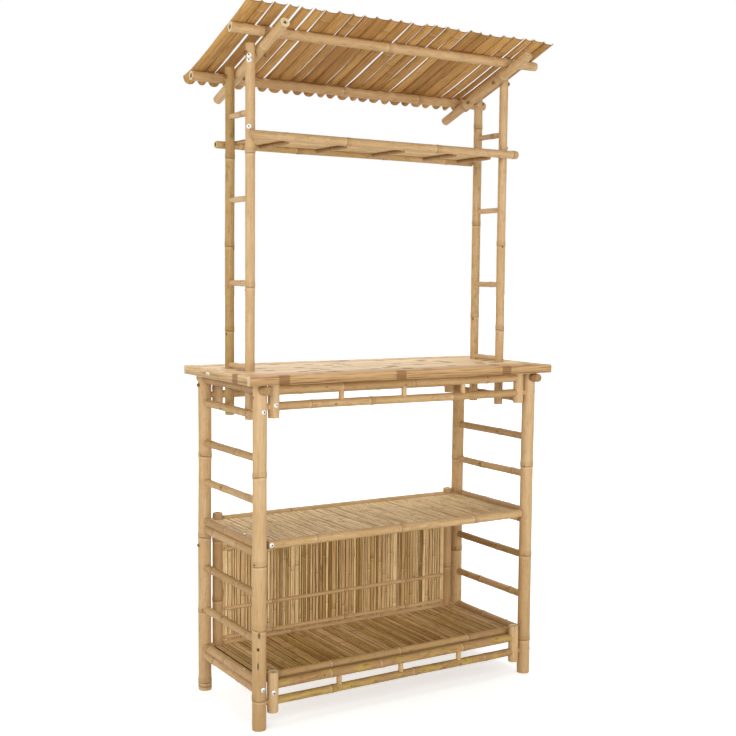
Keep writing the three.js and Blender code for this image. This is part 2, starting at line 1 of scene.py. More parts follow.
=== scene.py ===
"""Bamboo bar hut: culms with nodes and bores, split slats, a strip-laid counter and small bolts,
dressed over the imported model. Metres, +Z up, the same frame as the model."""

import math
import random
from itertools import pairwise

import bmesh
import bpy
from bpy.props import FloatProperty, FloatVectorProperty, PointerProperty
from bpy.types import Operator, Panel, PropertyGroup
from mathutils import Matrix, Vector, noise


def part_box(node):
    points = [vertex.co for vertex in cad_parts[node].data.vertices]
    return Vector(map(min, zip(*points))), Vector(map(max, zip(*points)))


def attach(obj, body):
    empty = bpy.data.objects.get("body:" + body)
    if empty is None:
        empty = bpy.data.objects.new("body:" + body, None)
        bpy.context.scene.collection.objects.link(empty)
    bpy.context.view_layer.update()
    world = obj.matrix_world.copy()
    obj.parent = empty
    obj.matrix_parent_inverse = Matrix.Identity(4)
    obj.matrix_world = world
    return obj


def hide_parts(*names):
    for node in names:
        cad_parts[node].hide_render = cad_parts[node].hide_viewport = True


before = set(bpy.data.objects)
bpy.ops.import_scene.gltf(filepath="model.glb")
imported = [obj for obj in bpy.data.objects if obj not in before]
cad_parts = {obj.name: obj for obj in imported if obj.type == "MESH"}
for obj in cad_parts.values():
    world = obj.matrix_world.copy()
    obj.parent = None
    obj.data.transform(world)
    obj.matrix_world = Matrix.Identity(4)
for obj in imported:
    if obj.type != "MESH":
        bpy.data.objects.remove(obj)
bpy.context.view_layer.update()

bl_info = {
    "name": "Bamboo Bar Hut",
    "version": (1, 0, 0),
    "blender": (4, 5, 0),
    "location": "View3D > Sidebar > Bamboo Hut",
    "description": "Dresses a packed bamboo bar hut with culms, split slats, a counter and bolts",
    "category": "Object",
}

MM = 0.001
X, Y, Z = Vector((1, 0, 0)), Vector((0, 1, 0)), Vector((0, 0, 1))
SIDES = (("left", -1), ("right", 1))
FAR_FROM_NODE = 60.0

# Slots of a culm or slat: its skin, and where it is sawn through
SKIN, SAWN = 0, 1
SHARP_EDGE = math.radians(38)


def linear(code):
    """A colour written as sRGB hex, as linear RGBA."""
    parts = [int(code[start:start + 2], 16) / 255 for start in (1, 3, 5)]
    return (*(p / 12.92 if p <= 0.04045 else ((p + 0.055) / 1.055) ** 2.4 for p in parts), 1.0)


def colour(name, description, code):
    return FloatVectorProperty(
        name=name, description=description, subtype="COLOR", size=4, min=0, max=1,
        default=linear(code),
    )


def length(name, description, default):
    return FloatProperty(
        name=name, description=description, unit="LENGTH", precision=4, default=default
    )


def power(name, description, default):
    return FloatProperty(name=name, description=description, subtype="POWER", default=default)


class CulmSizes(PropertyGroup):
    bore_share: FloatProperty(
        name="Bore", description="Bore of an open end, as a share of the culm", default=0.42
    )
    bore_depth: length("Bore depth", "Depth of an open end down to the first diaphragm", 0.024)
    ridge: length("Node ridge", "Height of the swelling at a node of a 40 mm culm", 0.0013)
    furrow: length("Furrow", "Depth of the furrow above each node", 0.0006)
    kink: length("Kink", "How far a culm strays sideways at its nodes", 0.0012)
    ring_pitch: length("Ring pitch", "Spacing of the rings of points along a culm", 0.016)


class SlatSizes(PropertyGroup):
    joint: length("Shelf joint", "Gap between two slats of a shelf", 0.0008)
    panel_joint: length("Panel joint", "Gap between two slats of the panel", 0.0006)
    edge_round: length("Rounded edge", "Rounding along the edges of a slat", 0.0009)
    roof_gap: length("Roof gap", "Usual gap between two slats of the roof", 0.0045)
    roof_sag: length("Roof slat sag", "Depth of the curve of a roof slat", 0.006)
    strip_round: length("Strip edge", "Rounding along the edges of a counter strip", 0.0006)


class Finishes(PropertyGroup):
    straw: colour("Straw", "Light skin of a dry culm", "#DABB90")
    tan: colour("Tan", "Darker skin of a dry culm", "#BE9865")
    green: colour("Green", "Greenish clouds on a worn culm", "#B4984C")
    node_line: colour("Node line", "The thin scar at a node", "#76502A")
    node_wax: colour("Node wax", "Faint pale band under a node", "#E6D2AA")
    mottle: colour("Mottle", "Weathered patches on a culm", "#8C6537")
    # The scar colour also paints shade: down open bores and along the lower edges of the counter's
    # edge strips
    scar: colour("Scar", "Branch scars, knots and dirt in joints", "#40280F")
    sawn: colour("Sawn end", "Cut fibres at the end of a culm", "#E6D2A8")
    pores: colour("Pores", "Dark vessels in a cut end", "#9C7848")
    slat_light: colour("Light slat", "The lightest split slat", "#F4D6A0")
    slat_pink: colour("Pinkish slat", "A split slat with a warm tinge", "#D8B27E")
    slat_olive: colour("Olive slat", "A split slat with a green tinge", "#C2A262")
    slat_brown: colour("Brown slat", "A darker split slat", "#9C743E")
    slat_dark: colour("Dark slat", "The darkest split slat", "#7A5430")
    roof_inner: colour("Inner face", "The pale inner face of the roof's half culms", "#F0DFBC")
    roof_light: colour("Light roof slat", "The lightest slat of the roof", "#D6A968")
    roof_dark: colour("Dark roof slat", "The darkest slat of the roof", "#9F6F3C")
    strip_light: colour("Light strip", "The lightest strip of the counter", "#F0D4A4")
    strip_dark: colour("Dark strip", "The darkest strip of the counter", "#C99D68")
    strip_node: colour("Strip node", "A node planed flat in a counter strip", "#80562A")
    zinc: colour("Zinc", "Bright zinc on a bolt", "#D2D2CE")
    zinc_cloud: colour("Zinc cloud", "Duller patches in the zinc", "#A9A9A6")
    zinc_yellow: colour("Yellowed zinc", "Zinc that has gone yellow and dull", "#8E6636")
    # The socket is a dark hex on the bolt's head: painted shade standing in for the socket's hollow
    socket: colour("Socket", "The socket in a bolt's head", "#4A2C12")
    floor: colour("Floor", "The studio floor", "#E8E8E6")
    floor_cloud: colour("Floor cloud", "Faintly darker paper", "#E7E7E5")


class Studio(PropertyGroup):
    lens: FloatProperty(
        name="Lens", description="Focal length on a 36 mm frame, in mm", default=56.8
    )
    key: power("Key", "Power of the large front lamp", 128)
    left: power("Left", "Power of the lamp on the left", 50)
    fill: power("Fill", "Power of the side lamp", 12)
    low: power("Low", "Power of the lamp low in front", 74)
    top: power("Top", "Power of the lamp overhead", 95)
    back: power("Back", "Power of the lamp behind", 55)
    sky: FloatProperty(
        name="Sky", description="Strength of the even light from all sides", default=0.33
    )


class HutSettings(PropertyGroup):
    culm: PointerProperty(type=CulmSizes)
    slat: PointerProperty(type=SlatSizes)
    finish: PointerProperty(type=Finishes)
    studio: PointerProperty(type=Studio)


def placed(name, data):
    """Adds an object with this data to the scene."""
    made = bpy.data.objects.new(name, data)
    bpy.context.scene.collection.objects.link(made)
    return made


# ---- places ----


def corners(node):
    """The low and the high corner of a CAD node's box."""
    return tuple(Vector(corner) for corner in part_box(node))


def line_along(x, y, z):
    """The two ends of a straight line along one axis. Its place on that axis is given as a pair."""
    places = (value if isinstance(value, tuple) else (value, value) for value in (x, y, z))
    return tuple(Vector(place) for place in zip(*places))


def middle_line(node, axis):
    """The two ends of the middle line of a straight CAD node that runs along one axis."""
    low, high = corners(node)
    start = (low + high) / 2
    end = start.copy()
    start[axis], end[axis] = low[axis], high[axis]
    return start, end


def slat_edges(start, end, usual_width, uneven=0.0):
    """The edges between slats of uneven widths, at the same places as in the model."""
    count = round((end - start) / usual_width)
    pitch = (end - start) / count
    return [
        start + index * pitch
        + (uneven * pitch * math.sin(index * index) if 0 < index < count else 0)
        for index in range(count + 1)
    ]


def split_further(edges, choices, rng):
    """The edges again, with each slat split at shares of its width, drawn from the choices."""
    splits = []
    for left, right in pairwise(edges):
        splits += [left] + [left + (right - left) * share for share in rng.choice(choices)]
    return splits + [edges[-1]]


# ---- shaping ----


class Shaping:
    """The points and faces of one piece, and what its materials read at each point."""

    def __init__(self, wear=0.3):
        self.wear = wear
        self.places = []
        self.grain = []
        self.marks = {"node_gap": [], "node_side": [], "tone": [], "scar": [], "wear": []}
        self.faces = []
        self.slots = []

    def point(self, place, grain, node_gap=FAR_FROM_NODE, tone=0.5, scar=0.0):
        """Adds a point. Its distance from a node and the side of it are kept apart, because the
        distance must not pass through zero halfway between two nodes."""
        self.places.append(tuple(place))
        self.grain.extend(grain)
        gap, side = min(FAR_FROM_NODE, abs(node_gap)), math.copysign(1, node_gap)
        for kept, value in zip(self.marks.values(), (gap, side, tone, scar, self.wear)):
            kept.append(value)
        return len(self.places) - 1

    def face(self, points, slot=SKIN):
        self.faces.append(tuple(points))
        self.slots.append(slot)

    def loft(self, rows, slot=SKIN):
        """Faces between closed rows of points."""
        for first, second in pairwise(rows):
            for index in range(len(first)):
                after = (index + 1) % len(first)
                self.face((first[index], first[after], second[after], second[index]), slot)

    def fan(self, row, heart, slot=SKIN):
        """Closes a row of points with triangles that meet at its heart."""
        for index, corner in enumerate(row):
            self.face((corner, row[(index + 1) % len(row)], heart), slot)

    def piece(self, name, nodes, slot_name, materials):
        """Makes the object, hides the nodes it stands for and gives it its finish."""
        mesh = bpy.data.meshes.new(name)
        mesh.from_pydata(self.places, [], self.faces)
        for look in materials:
            mesh.materials.append(look)
        mesh.polygons.foreach_set("material_index", self.slots)
        vectors = mesh.attributes.new("grain", "FLOAT_VECTOR", "POINT")
        vectors.data.foreach_set("vector", self.grain)
        for label, values in self.marks.items():
            mesh.attributes.new(label, "FLOAT", "POINT").data.foreach_set("value", values)
        shell = bmesh.new()
        shell.from_mesh(mesh)
        bmesh.ops.recalc_face_normals(shell, faces=shell.faces)
        shell.to_mesh(mesh)
        shell.free()
        mesh.shade_smooth()
        mesh.set_sharp_from_angle(angle=SHARP_EDGE)
        made = placed(name, mesh)
        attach(made, "root")
        if nodes:
            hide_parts(*nodes)


# Height of a node over the skin, by the distance along the culm in mm, for a 40 mm culm: under
# the groove is the thin lip of the sheath scar, and over it the culm swells and slowly narrows
NODE_SHAPE = (
    (-16, 0.0), (-9, 0.08), (-5, 0.22), (-2.6, 0.42), (-1.5, 0.72), (-0.9, 0.62), (-0.3, -0.2),
    (0.4, -0.1), (1.1, 0.55), (2.4, 0.9), (4.5, 1.0), (8, 0.8), (13, 0.45), (20, 0.15), (28, 0.0),
)
# No even ring of points lies this close under or over a node
NODE_FOOT, NODE_TOP = -17 * MM, 29 * MM
# The culm that the heights of ridge and furrow are given for
FULL_CULM = 0.04
# The furrow above a node: the share of the way to the next node at which it has faded, how soon it
# is at its deepest, and half its width as an angle
FURROW_FADE, FURROW_START, FURROW_HALF = 0.75, 0.006, 0.55
# How far from an end of the culm its furrows take the next node to be
PAST_END = 0.12
# The rings lean with a node as far as this from it, and stand square this close to an end
LEAN_REACH, SQUARE_END = 0.05, 0.03
# How much the skin wavers, how far sandpaper has broken the edge of an end, and how oval a culm is
WAVER, BROKEN_EDGE, OVAL = 0.22 * MM, 0.5 * MM, 0.018
# No kink lies closer to an end than this share of the culm
STRAIGHT_END = 0.03
# How much the tone differs between the parts of a culm, and how far apart in mm grains may start
PART_TONE, GRAIN_RANGE = 0.14, 9000


def node_height(gap):
    """The share of the ridge's height at a distance in mm from a node."""
    for (left, low), (right, high) in pairwise(NODE_SHAPE):
        if left <= gap <= right:
            return low + (high - low) * (gap - left) / (right - left)
    return 0.0


def along_stations(total, nodes, pitch):
    """Distances along a culm for its rings of points: even ones, and close ones about each node."""
    count = max(2, math.ceil(total / pitch))
    even = [index * total / count for index in range(count + 1)]
    kept = [
        s for s in even
        if s in (0, total) or not any(NODE_FOOT < s - node < NODE_TOP for node in nodes)
    ]
    near = {round(node + offset * MM, 7) for node in nodes for offset, _ in NODE_SHAPE}
    return sorted(kept + [s for s in near if 0.5 * MM < s < total - 0.5 * MM])


def nearest_gap(distance, nodes):
    """Signed mm from the nearest node, positive above it."""
    gaps = [(distance - node) / MM for node in nodes]
    return min(gaps, key=abs) if gaps else FAR_FROM_NODE


def add_culm(shape, start, end, diameter, node_shares=(), opens=(False, False), tone=0.5, seed=0,
             sides=24, kink=None, scars=(), bore_share=None, bore_depth=None, tilt=9.0):
    """A culm: rings of points with nodes, furrows and slight kinks, and its two ends, of which
    opens says whether their bore shows. tone may be a pair, for its start and end. Each scar is an
    angle in degrees, a distance along, a width, a height and a darkness."""
    sizes = bpy.context.scene.bamboo_hut.culm
    rng = random.Random(seed)
    total = (end - start).length
    along = (end - start).normalized()
    across = (X if abs(along.x) < 0.7 else Y).cross(along).normalized()
    second = along.cross(across)
    radius = diameter / 2
    first_tone, last_tone = tone if isinstance(tone, tuple) else (tone, tone)
    tone = (first_tone + last_tone) / 2
    bore = radius * (sizes.bore_share if bore_share is None else bore_share)
    ridge = sizes.ridge * (0.4 + 0.6 * diameter / FULL_CULM)
    stray = sizes.kink if kink is None else kink
    nodes = sorted(share * total for share in node_shares)
    turns = [rng.uniform(0, math.tau) for _ in range(len(nodes) + 2)]
    knots = [(0, Vector((0, 0)))]
    for index, node in enumerate(nodes):
        if STRAIGHT_END * total < node < (1 - STRAIGHT_END) * total:
            reach = stray * rng.uniform(0.4, 1)
            knots.append((node, Vector((math.cos(turns[index]), math.sin(turns[index]))) * reach))
    knots.append((total, Vector((0, 0))))
    parts = range(len(nodes) + 1)
    furrow_angles = [turns[-1] + index * math.pi + rng.uniform(-0.3, 0.3) for index in parts]
    slants = [
        (math.tan(math.radians(rng.uniform(-tilt, tilt))), rng.uniform(0, math.tau)) for _ in nodes
    ]
    part_tones = [rng.uniform(-PART_TONE, PART_TONE) for _ in parts]
    grain_start = rng.uniform(0, GRAIN_RANGE)
    oval, oval_turn = rng.uniform(0.0, OVAL), rng.uniform(0, math.pi)

    def centre_shift(distance):
        for (left, low), (right, high) in pairwise(knots):
            if left <= distance <= right:
                return low.lerp(high, (distance - left) / (right - left))
        return Vector((0, 0))

    def furrow(distance, angle):
        index = sum(node <= distance for node in nodes)
        foot, after = [-PAST_END, *nodes, total + PAST_END][index:index + 2]
        share = (distance - foot) / max(after - foot, 0.02)
        depth = sizes.furrow * max(0.0, 1 - share / FURROW_FADE)
        depth *= min(1.0, (distance - foot) / FURROW_START)
        swing = (angle - furrow_angles[index] + math.pi) % math.tau - math.pi
        return -depth * max(0.0, 1 - (swing / FURROW_HALF) ** 2) * diameter / FULL_CULM

    def slant_at(distance, angle):
        """How far a ring leans along the culm, close to a node that isn't square to it."""
        lean = 0.0
        for node, (slope, turn) in zip(nodes, slants):
            nearness = max(0.0, 1 - abs(distance - node) / LEAN_REACH)
            room = min(1.0, distance / SQUARE_END, (total - distance) / SQUARE_END)
            lean += slope * radius * math.cos(angle - turn) * nearness * max(0.0, room)
        return lean

    def surface(distance, angle, lift=0.0):
        gap = nearest_gap(distance, nodes)
        own = radius * (1 + oval * math.cos(2 * (angle - oval_turn)) - oval / 2)
        waver = noise.noise((math.cos(angle) * 2, math.sin(angle) * 2, distance * 14 + seed * 7.7))
        out = own + ridge * node_height(gap) + furrow(distance, angle) + WAVER * waver + lift
        shift = centre_shift(distance)
        flat = Vector((math.cos(angle) * out, math.sin(angle) * out)) + shift
        reached = distance + slant_at(distance, angle)
        return start + along * reached + across * flat.x + second * flat.y, gap

    def grain_at(distance, angle, reach=radius):
        return (
            math.cos(angle) * reach / MM + seed * 31.7, math.sin(angle) * reach / MM,
            distance / MM + grain_start,
        )

    angles = [index * math.tau / sides for index in range(sides)]
    rows = []
    for distance in along_stations(total, nodes, sizes.ring_pitch):
        row = []
        own_tone = first_tone + (last_tone - first_tone) * distance / total
        own_tone += part_tones[sum(node < distance for node in nodes)]
        lift = -BROKEN_EDGE if distance in (0, total) else 0.0
        for angle in angles:
            place, gap = surface(distance, angle, lift)
            row.append(shape.point(place, grain_at(distance, angle), gap, own_tone))
        rows.append(row)
    shape.loft(rows)

    def close(distance, inward, rim, is_open):
        """An end: rings from its rim to the middle, each a radius, a depth and a darkness."""
        shift = centre_shift(distance)
        base = start + along * distance + across * shift.x + second * shift.y
        if is_open:
            depth = min(bore_depth or sizes.bore_depth, total * 0.4)
            # Down an open bore the darkness is painted shade, scaled by how deep the bore goes
            painted_bore_shade, slot = depth / sizes.bore_depth, SAWN
            steps = (
                (max(radius * 0.68, bore + 1.2 * MM), 0.0, 0.0),
                (max(radius * 0.62, bore + 0.6 * MM), 0.2 * MM, 0.22),
                (bore + 0.3 * MM, 0.3 * MM, 0.3), (bore, 1.0 * MM, 0.6),
                (bore * 1.02, depth * 0.5, 0.8), (bore * 0.98, depth, 0.9),
                (bore * 0.5, depth + 1.5 * MM, 0.85), (0.0, depth + 2 * MM, 0.8),
            )
        else:
            painted_bore_shade, slot = 1.0, SKIN
            steps = (radius * 0.84, 0.0, 0.4), (radius * 0.5, 0.0, 0.12), (0.0, 0.0, 0.35)
        rings = [rim]
        for reach, deep, dark in steps:
            ring = []
            for angle in angles if reach else angles[:1]:
                spoke = across * (math.cos(angle) * reach), second * (math.sin(angle) * reach)
                place = base + inward * deep + spoke[0] + spoke[1]
                grain = grain_at(distance, angle, reach)
                ring.append(shape.point(place, grain, FAR_FROM_NODE, tone, dark * painted_bore_shade))
            rings.append(ring)
        shape.loft(rings[:-1], slot)
        shape.fan(rings[-2], rings[-1][0], slot)

    close(0, along, rows[0], opens[0])
    close(total, -along, rows[-1], opens[1])
    for degrees, *scar in scars:
        add_scar(shape, surface, grain_at, math.radians(degrees), *scar, tone, radius)


# The rings of a branch scar from its foot to its heart: their reach, height in mm and darkness
SCAR_RINGS = (1.15, -0.5, 0.0), (1.0, 0.35, 0.2), (0.75, 0.7, 0.45), (0.45, 0.35, 1.0)
SCAR_SIDES = 14


def add_scar(shape, surface, grain_at, angle, distance, width, height, dark, tone, radius):
    """A healed branch scar on a culm: a low oval with a raised rim and a dark heart."""
    rings = []
    for reach, lift, shade in SCAR_RINGS:
        ring = []
        for turn in (index * math.tau / SCAR_SIDES for index in range(SCAR_SIDES)):
            own_angle = angle + math.cos(turn) * reach * width / 2 / radius
            own_distance = distance + math.sin(turn) * reach * height / 2
            place, gap = surface(own_distance, own_angle, lift * MM)
            grain = grain_at(own_distance, own_angle)
            ring.append(shape.point(place, grain, gap, tone, shade * dark))
        rings.append(ring)
    shape.loft(rings)
    place, gap = surface(distance, angle, 0.1 * MM)
    shape.fan(rings[-1], shape.point(place, grain_at(distance, angle), gap, tone, dark))


def blend_of_three(values, share):
    """Blends a value at the start, middle and end of a slat."""
    first, middle, last = values
    if share < 0.5:
        return first + (middle - first) * share * 2
    return middle + (last - middle) * (share * 2 - 1)


# Thicknesses of split slats: of the shelves, the panel, the upper deck and the roof
SHELF_SLAT, PANEL_SLAT, DECK_SLAT, ROOF_SLAT = 0.0062, 0.0048, 0.0046, 0.0032
# How deep the hollow of a roof slat is cut from its superellipse, and the superellipse's power
ROUNDNESS, FULLNESS = 0.97, 2.6
# How suddenly the ends of a roof slat bend, as a power of the way along it, and the part of its
# tone that an inner face takes
END_BEND, INNER_TONE = 8, 0.5
# Where the rings of points about a slat's node lie, in mm from it, and how close even ones may come
SLAT_NODE_RINGS, SLAT_NODE_CLEAR = (-6, -2.2, -0.9, -0.2, 0.5, 2, 6), 6.5
SLAT_RING_PITCH = 20 * MM
# How far a slat's node swells on both sides, where its groove lies, both in mm, and how much of the
# swelling is left there
SLAT_SWELLING, SLAT_GROOVE, GROOVE_LEFT = 5, (-0.5, 0.1), 0.25


def superellipse_sink(share):
    return 1 - (1 - ROUNDNESS * abs(share) ** FULLNESS) ** (1 / FULLNESS)


def add_slat(shape, start, along, across, total, width, thickness, arch=0.0, node_places=(),
             tone=0.5, seed=0, columns=6, edge=None, waver=0.35 * MM, bark_up=True,
             node_lift=0.3 * MM, start_cut=0.0, end_cut=0.0, dirt=0.55,
             insets=((0, 0, 0), (0, 0, 0)), thinning=0.0, deepening=(0, 0), end_lean=0.0,
             under=0.0, droop=0.0):
    """A split slat, strip or lath. start is the middle of its underside at one end. A positive arch
    raises the middle, a negative one raises the edges. Nodes cross it at the places given, and the
    insets move its two long edges inward at its start, middle and end. tone may be a pair, for its
    start and end, and deepening is how much more it arches right at each. end_lean saws the top of
    its far end back, droop lowers that end, and under paints shade along its lower edges. The inner
    face is paler than the bark."""
    sizes = bpy.context.scene.bamboo_hut.slat
    bevel = sizes.edge_round if edge is None else edge
    rng = random.Random(seed)
    along, across = along.normalized(), across.normalized()
    up = across.cross(along)
    if up.z < -0.3:
        up.negate()
    first_tone, last_tone = tone if isinstance(tone, tuple) else (tone, tone)
    first, last = start_cut, total - end_cut
    nodes = sorted(place for place in node_places if first + 4 * MM < place < last - 4 * MM)
    count = max(2, math.ceil((last - first) / SLAT_RING_PITCH))
    even = [first + index * (last - first) / count for index in range(count + 1)]
    kept = [
        s for s in even
        if s in (first, last) or all(abs(s - node) > SLAT_NODE_CLEAR * MM for node in nodes)
    ]
    near = [node + offset * MM for node in nodes for offset in SLAT_NODE_RINGS]
    stations = sorted(kept + [s for s in near if first + MM < s < last - MM])
    grain_start = rng.uniform(0, GRAIN_RANGE)
    half = width / 2
    shares = [-1 + 2 * index / columns for index in range(columns + 1)]
    shares[0] += bevel / half
    shares[-1] -= bevel / half
    rounded = min(bevel, thickness * (1 - thinning) / 3)
    corner_height = thickness * (1 - thinning) - rounded

    def corner(share, level, is_top):
        """A corner of the section: its share across, its part in the arch, its height and side."""
        bend = 1 - share * share if arch >= 0 else superellipse_sink(share) / superellipse_sink(1)
        return share, bend, level, is_top

    outline = [corner(share, 0.0, False) for share in shares]
    outline += [corner(1.0, rounded, False), corner(1.0, corner_height, True)]
    outline += [
        corner(share, thickness * (1 - thinning * share * share), True)
        for share in reversed(shares)
    ]
    outline += [corner(-1.0, corner_height, True), corner(-1.0, rounded, False)]
    rows = []
    for station in stations:
        gap = nearest_gap(station, nodes)
        lift = node_lift * max(0.0, 1 - abs(gap) / SLAT_SWELLING)
        if SLAT_GROOVE[0] < gap < SLAT_GROOVE[1]:
            lift *= GROOVE_LEFT
        way = station / total
        strays = [
            waver * abs(noise.noise((station * 15, seed * turn, far)))
            for turn, far in ((3.1, 0.5), (5.3, 4.5))
        ]
        left = -half + blend_of_three(insets[0], way) + strays[0]
        right = half - blend_of_three(insets[1], way) - strays[1]
        row = []
        at_start, at_end = (1 - way) ** END_BEND, way ** END_BEND
        own_arch = abs(arch) * (1 + deepening[0] * at_start + deepening[1] * at_end)
        way_tone = first_tone + (last_tone - first_tone) * way
        for share, bend, level, is_top in outline:
            height = level + own_arch * bend
            is_bark = is_top == bark_up
            raised = height + (lift if is_bark else 0.0) * (1 if is_top else -1) - droop * at_end
            reached = station - (end_lean * raised if station == stations[-1] else 0.0)
            aside = left + (right - left) * (share + 1) / 2
            place = start + along * reached + across * aside + up * raised
            grain = (share * half / MM + seed * 17.3, height / MM, station / MM + grain_start)
            # The long edges get dirt in the joints and, on the lower edges, the painted shade of
            # under
            shade = max(dirt, 0.0 if is_top else under) if abs(share) == 1.0 else 0.0
            own_tone = way_tone * (1 if is_bark or not arch else INNER_TONE)
            row.append(shape.point(place, grain, gap, own_tone, shade))
        rows.append(row)
    shape.loft(rows)
    for row in (rows[0], rows[-1]):
        shape.face(row, SAWN)


def add_turned(shape, centre, direction, profile, sides=20, dark=0.0, tone=0.0):
    """A small turned part about a direction. Each profile pair is a radius and a distance along it.
    tone is how yellow its zinc is, and dark paints it dark, as painted shade for a socket."""
    direction = direction.normalized()
    across = (X if abs(direction.x) < 0.7 else Y).cross(direction).normalized()
    second = direction.cross(across)
    rows = []
    for radius, out in profile:
        row = []
        for index in range(sides):
            angle = index * math.tau / sides
            spoke = across * math.cos(angle) + second * math.sin(angle)
            place = centre + direction * out + spoke * radius
            row.append(shape.point(place, [value / MM for value in place], tone=tone, scar=dark))
        rows.append(row)
    shape.loft(rows)
    shape.face(rows[0])
    shape.face(rows[-1])


# ---- materials ----


def add_node(tree, kind, settings=None, values=None, stops=None):
    """Adds a node with its settings, its values or links by socket, and the stops of a ramp."""
    made = tree.nodes.new(kind)
    for name, value in (settings or {}).items():
        setattr(made, name, value)
    for socket, value in (values or {}).items():
        if isinstance(value, bpy.types.NodeSocket):
            tree.links.new(value, made.inputs[socket])
        else:
            made.inputs[socket].default_value = value
    if stops:
        points = made.color_ramp.elements
        while len(points) < len(stops):
            points.new(0.5)
        for point, (position, tint) in zip(points, stops):
            point.position = position
            point.color = tint
    return made


def bare_material(name):
    made = bpy.data.materials.new(name)
    made.use_nodes = True
    made.node_tree.nodes.clear()
    return made, made.node_tree


def seen_directly(tree):
    """1 for what the camera, a mirror or glass looks at, and 0 for light on its way."""
    path = add_node(tree, "ShaderNodeLightPath").outputs
    seen = path["Is Camera Ray"]
    for other in ("Is Glossy Ray", "Is Transmission Ray"):
        seen = add_node(
            tree, "ShaderNodeMath", {"operation": "MAXIMUM"}, {0: seen, 1: path[other]}
        ).outputs[0]
    return seen


class BambooPattern:
    """Colours laid over one another on bamboo, by its fibres and by what each point holds."""

    # Where the marks of a node lie, in mm above it: its line, the pale band below, the stain above.
    # A split is a line where a slow noise passes its middle
    MIDDLES = {
        "line": ("gap", 0.0), "wax": ("gap", -4.6), "stain": ("gap", 6.5), "split": ("slow", 0.5),
    }

    def __init__(self, name, streaks):
        """Each streak has its width and length in mm, its detail and its roughness."""
        self.material, self.tree = bare_material(name)
        self.sources = {}
        for label in ("node_gap", "node_side", "tone", "scar", "wear"):
            reader = add_node(self.tree, "ShaderNodeAttribute", {"attribute_name": label})
            self.sources[label] = reader.outputs["Fac"]
        reader = add_node(self.tree, "ShaderNodeAttribute", {"attribute_name": "grain"})
        self.grain = reader.outputs["Vector"]
        for label, (across_mm, along_mm, detail, roughness) in streaks.items():
            scaled = add_node(
                self.tree, "ShaderNodeVectorMath", {"operation": "MULTIPLY"},
                {0: self.grain, 1: (1 / across_mm, 1 / across_mm, 1 / along_mm)},
            )
            drawn = add_node(
                self.tree, "ShaderNodeTexNoise", None,
                {
                    "Vector": scaled.outputs[0], "Scale": 1.0, "Detail": detail,
                    "Roughness": roughness,
                },
            )
            self.sources[label] = drawn.outputs["Fac"]
        self.combine("side", "SIGN", "node_side")
        self.combine("gap", "MULTIPLY", "node_gap", "side")
        for label, (source, middle) in self.MIDDLES.items():
            if source in self.sources:
                self.combine("offset", "SUBTRACT", source, middle)
                self.combine(label, "ABSOLUTE", "offset")

    def combine(self, label, operation, *parts):
        """Keeps a sum, product or the like of patterns and numbers as a new pattern."""
        values = {place: self.sources.get(part, part) for place, part in enumerate(parts)}
        made = add_node(self.tree, "ShaderNodeMath", {"operation": operation}, values)
        self.sources[label] = made.outputs[0]

    def between(self, label, low, high, at_low, at_high):
        """A pattern brought smoothly from one pair of ends to another."""
        made = add_node(
            self.tree, "ShaderNodeMapRange", {"interpolation_type": "SMOOTHSTEP"},
            {
                "Value": self.sources[label], "From Min": low, "From Max": high,
                "To Min": at_low, "To Max": at_high,
            },
        )
        return made.outputs["Result"]

    def lay(self, tint, *layers):
        """Each layer has a pattern, its two ends, how much of the colour shows at each end, the
        colour, and other patterns with a factor and an addend that thin the colour out."""
        for label, ends, shares, colour_over, *thinned in layers:
            self.sources["share"] = self.between(label, *ends, *shares)
            for other, factor, addend in thinned:
                self.combine("thinner", "MULTIPLY_ADD", other, factor, addend)
                self.combine("share", "MULTIPLY", "share", "thinner")
            over = add_node(
                self.tree, "ShaderNodeMix", {"data_type": "RGBA", "clamp_factor": True},
                {0: self.sources["share"], 6: tint, 7: colour_over},
            )
            tint = over.outputs[2]
        return tint

    def finish(self, tint, matt, relief, height, specular=0.5, metallic=0.0):
        """The shader, with its roughness and relief from the pattern. height names two patterns."""
        self.combine("height", "MULTIPLY_ADD", height[1], 0.7, height[0])
        bump = add_node(
            self.tree, "ShaderNodeBump", None,
            {"Height": self.sources["height"], "Distance": relief, "Strength": 0.7},
        )
        shader = add_node(
            self.tree, "ShaderNodeBsdfPrincipled", None,
            {
                "Base Color": tint, "Roughness": self.between(height[0], 0.3, 0.7, *matt),
                "Normal": bump.outputs[0], "Specular IOR Level": specular, "Metallic": metallic,
            },
        )
        add_node(self.tree, "ShaderNodeOutputMaterial", None, {"Surface": shader.outputs[0]})
        return self.material


def node_marks(look, line, wax, stain, patches):
    """The layers that mark a node: a waxy band under it, a stain above it and its dark line, drawn
    about 2 mm wide, a little over the real one, so that it shows."""
    return (
        ("wax", (1.5, 4.5), (wax, 0), look.node_wax),
        ("stain", (4.5, 14), (stain, 0), look.mottle, (patches, 2.4, -0.7)),
        ("line", (0.7, 1.9), (line, 0), look.node_line, (patches, 1.6, -0.1)),
        ("scar", (0, 1), (0, 1), look.scar),
    )


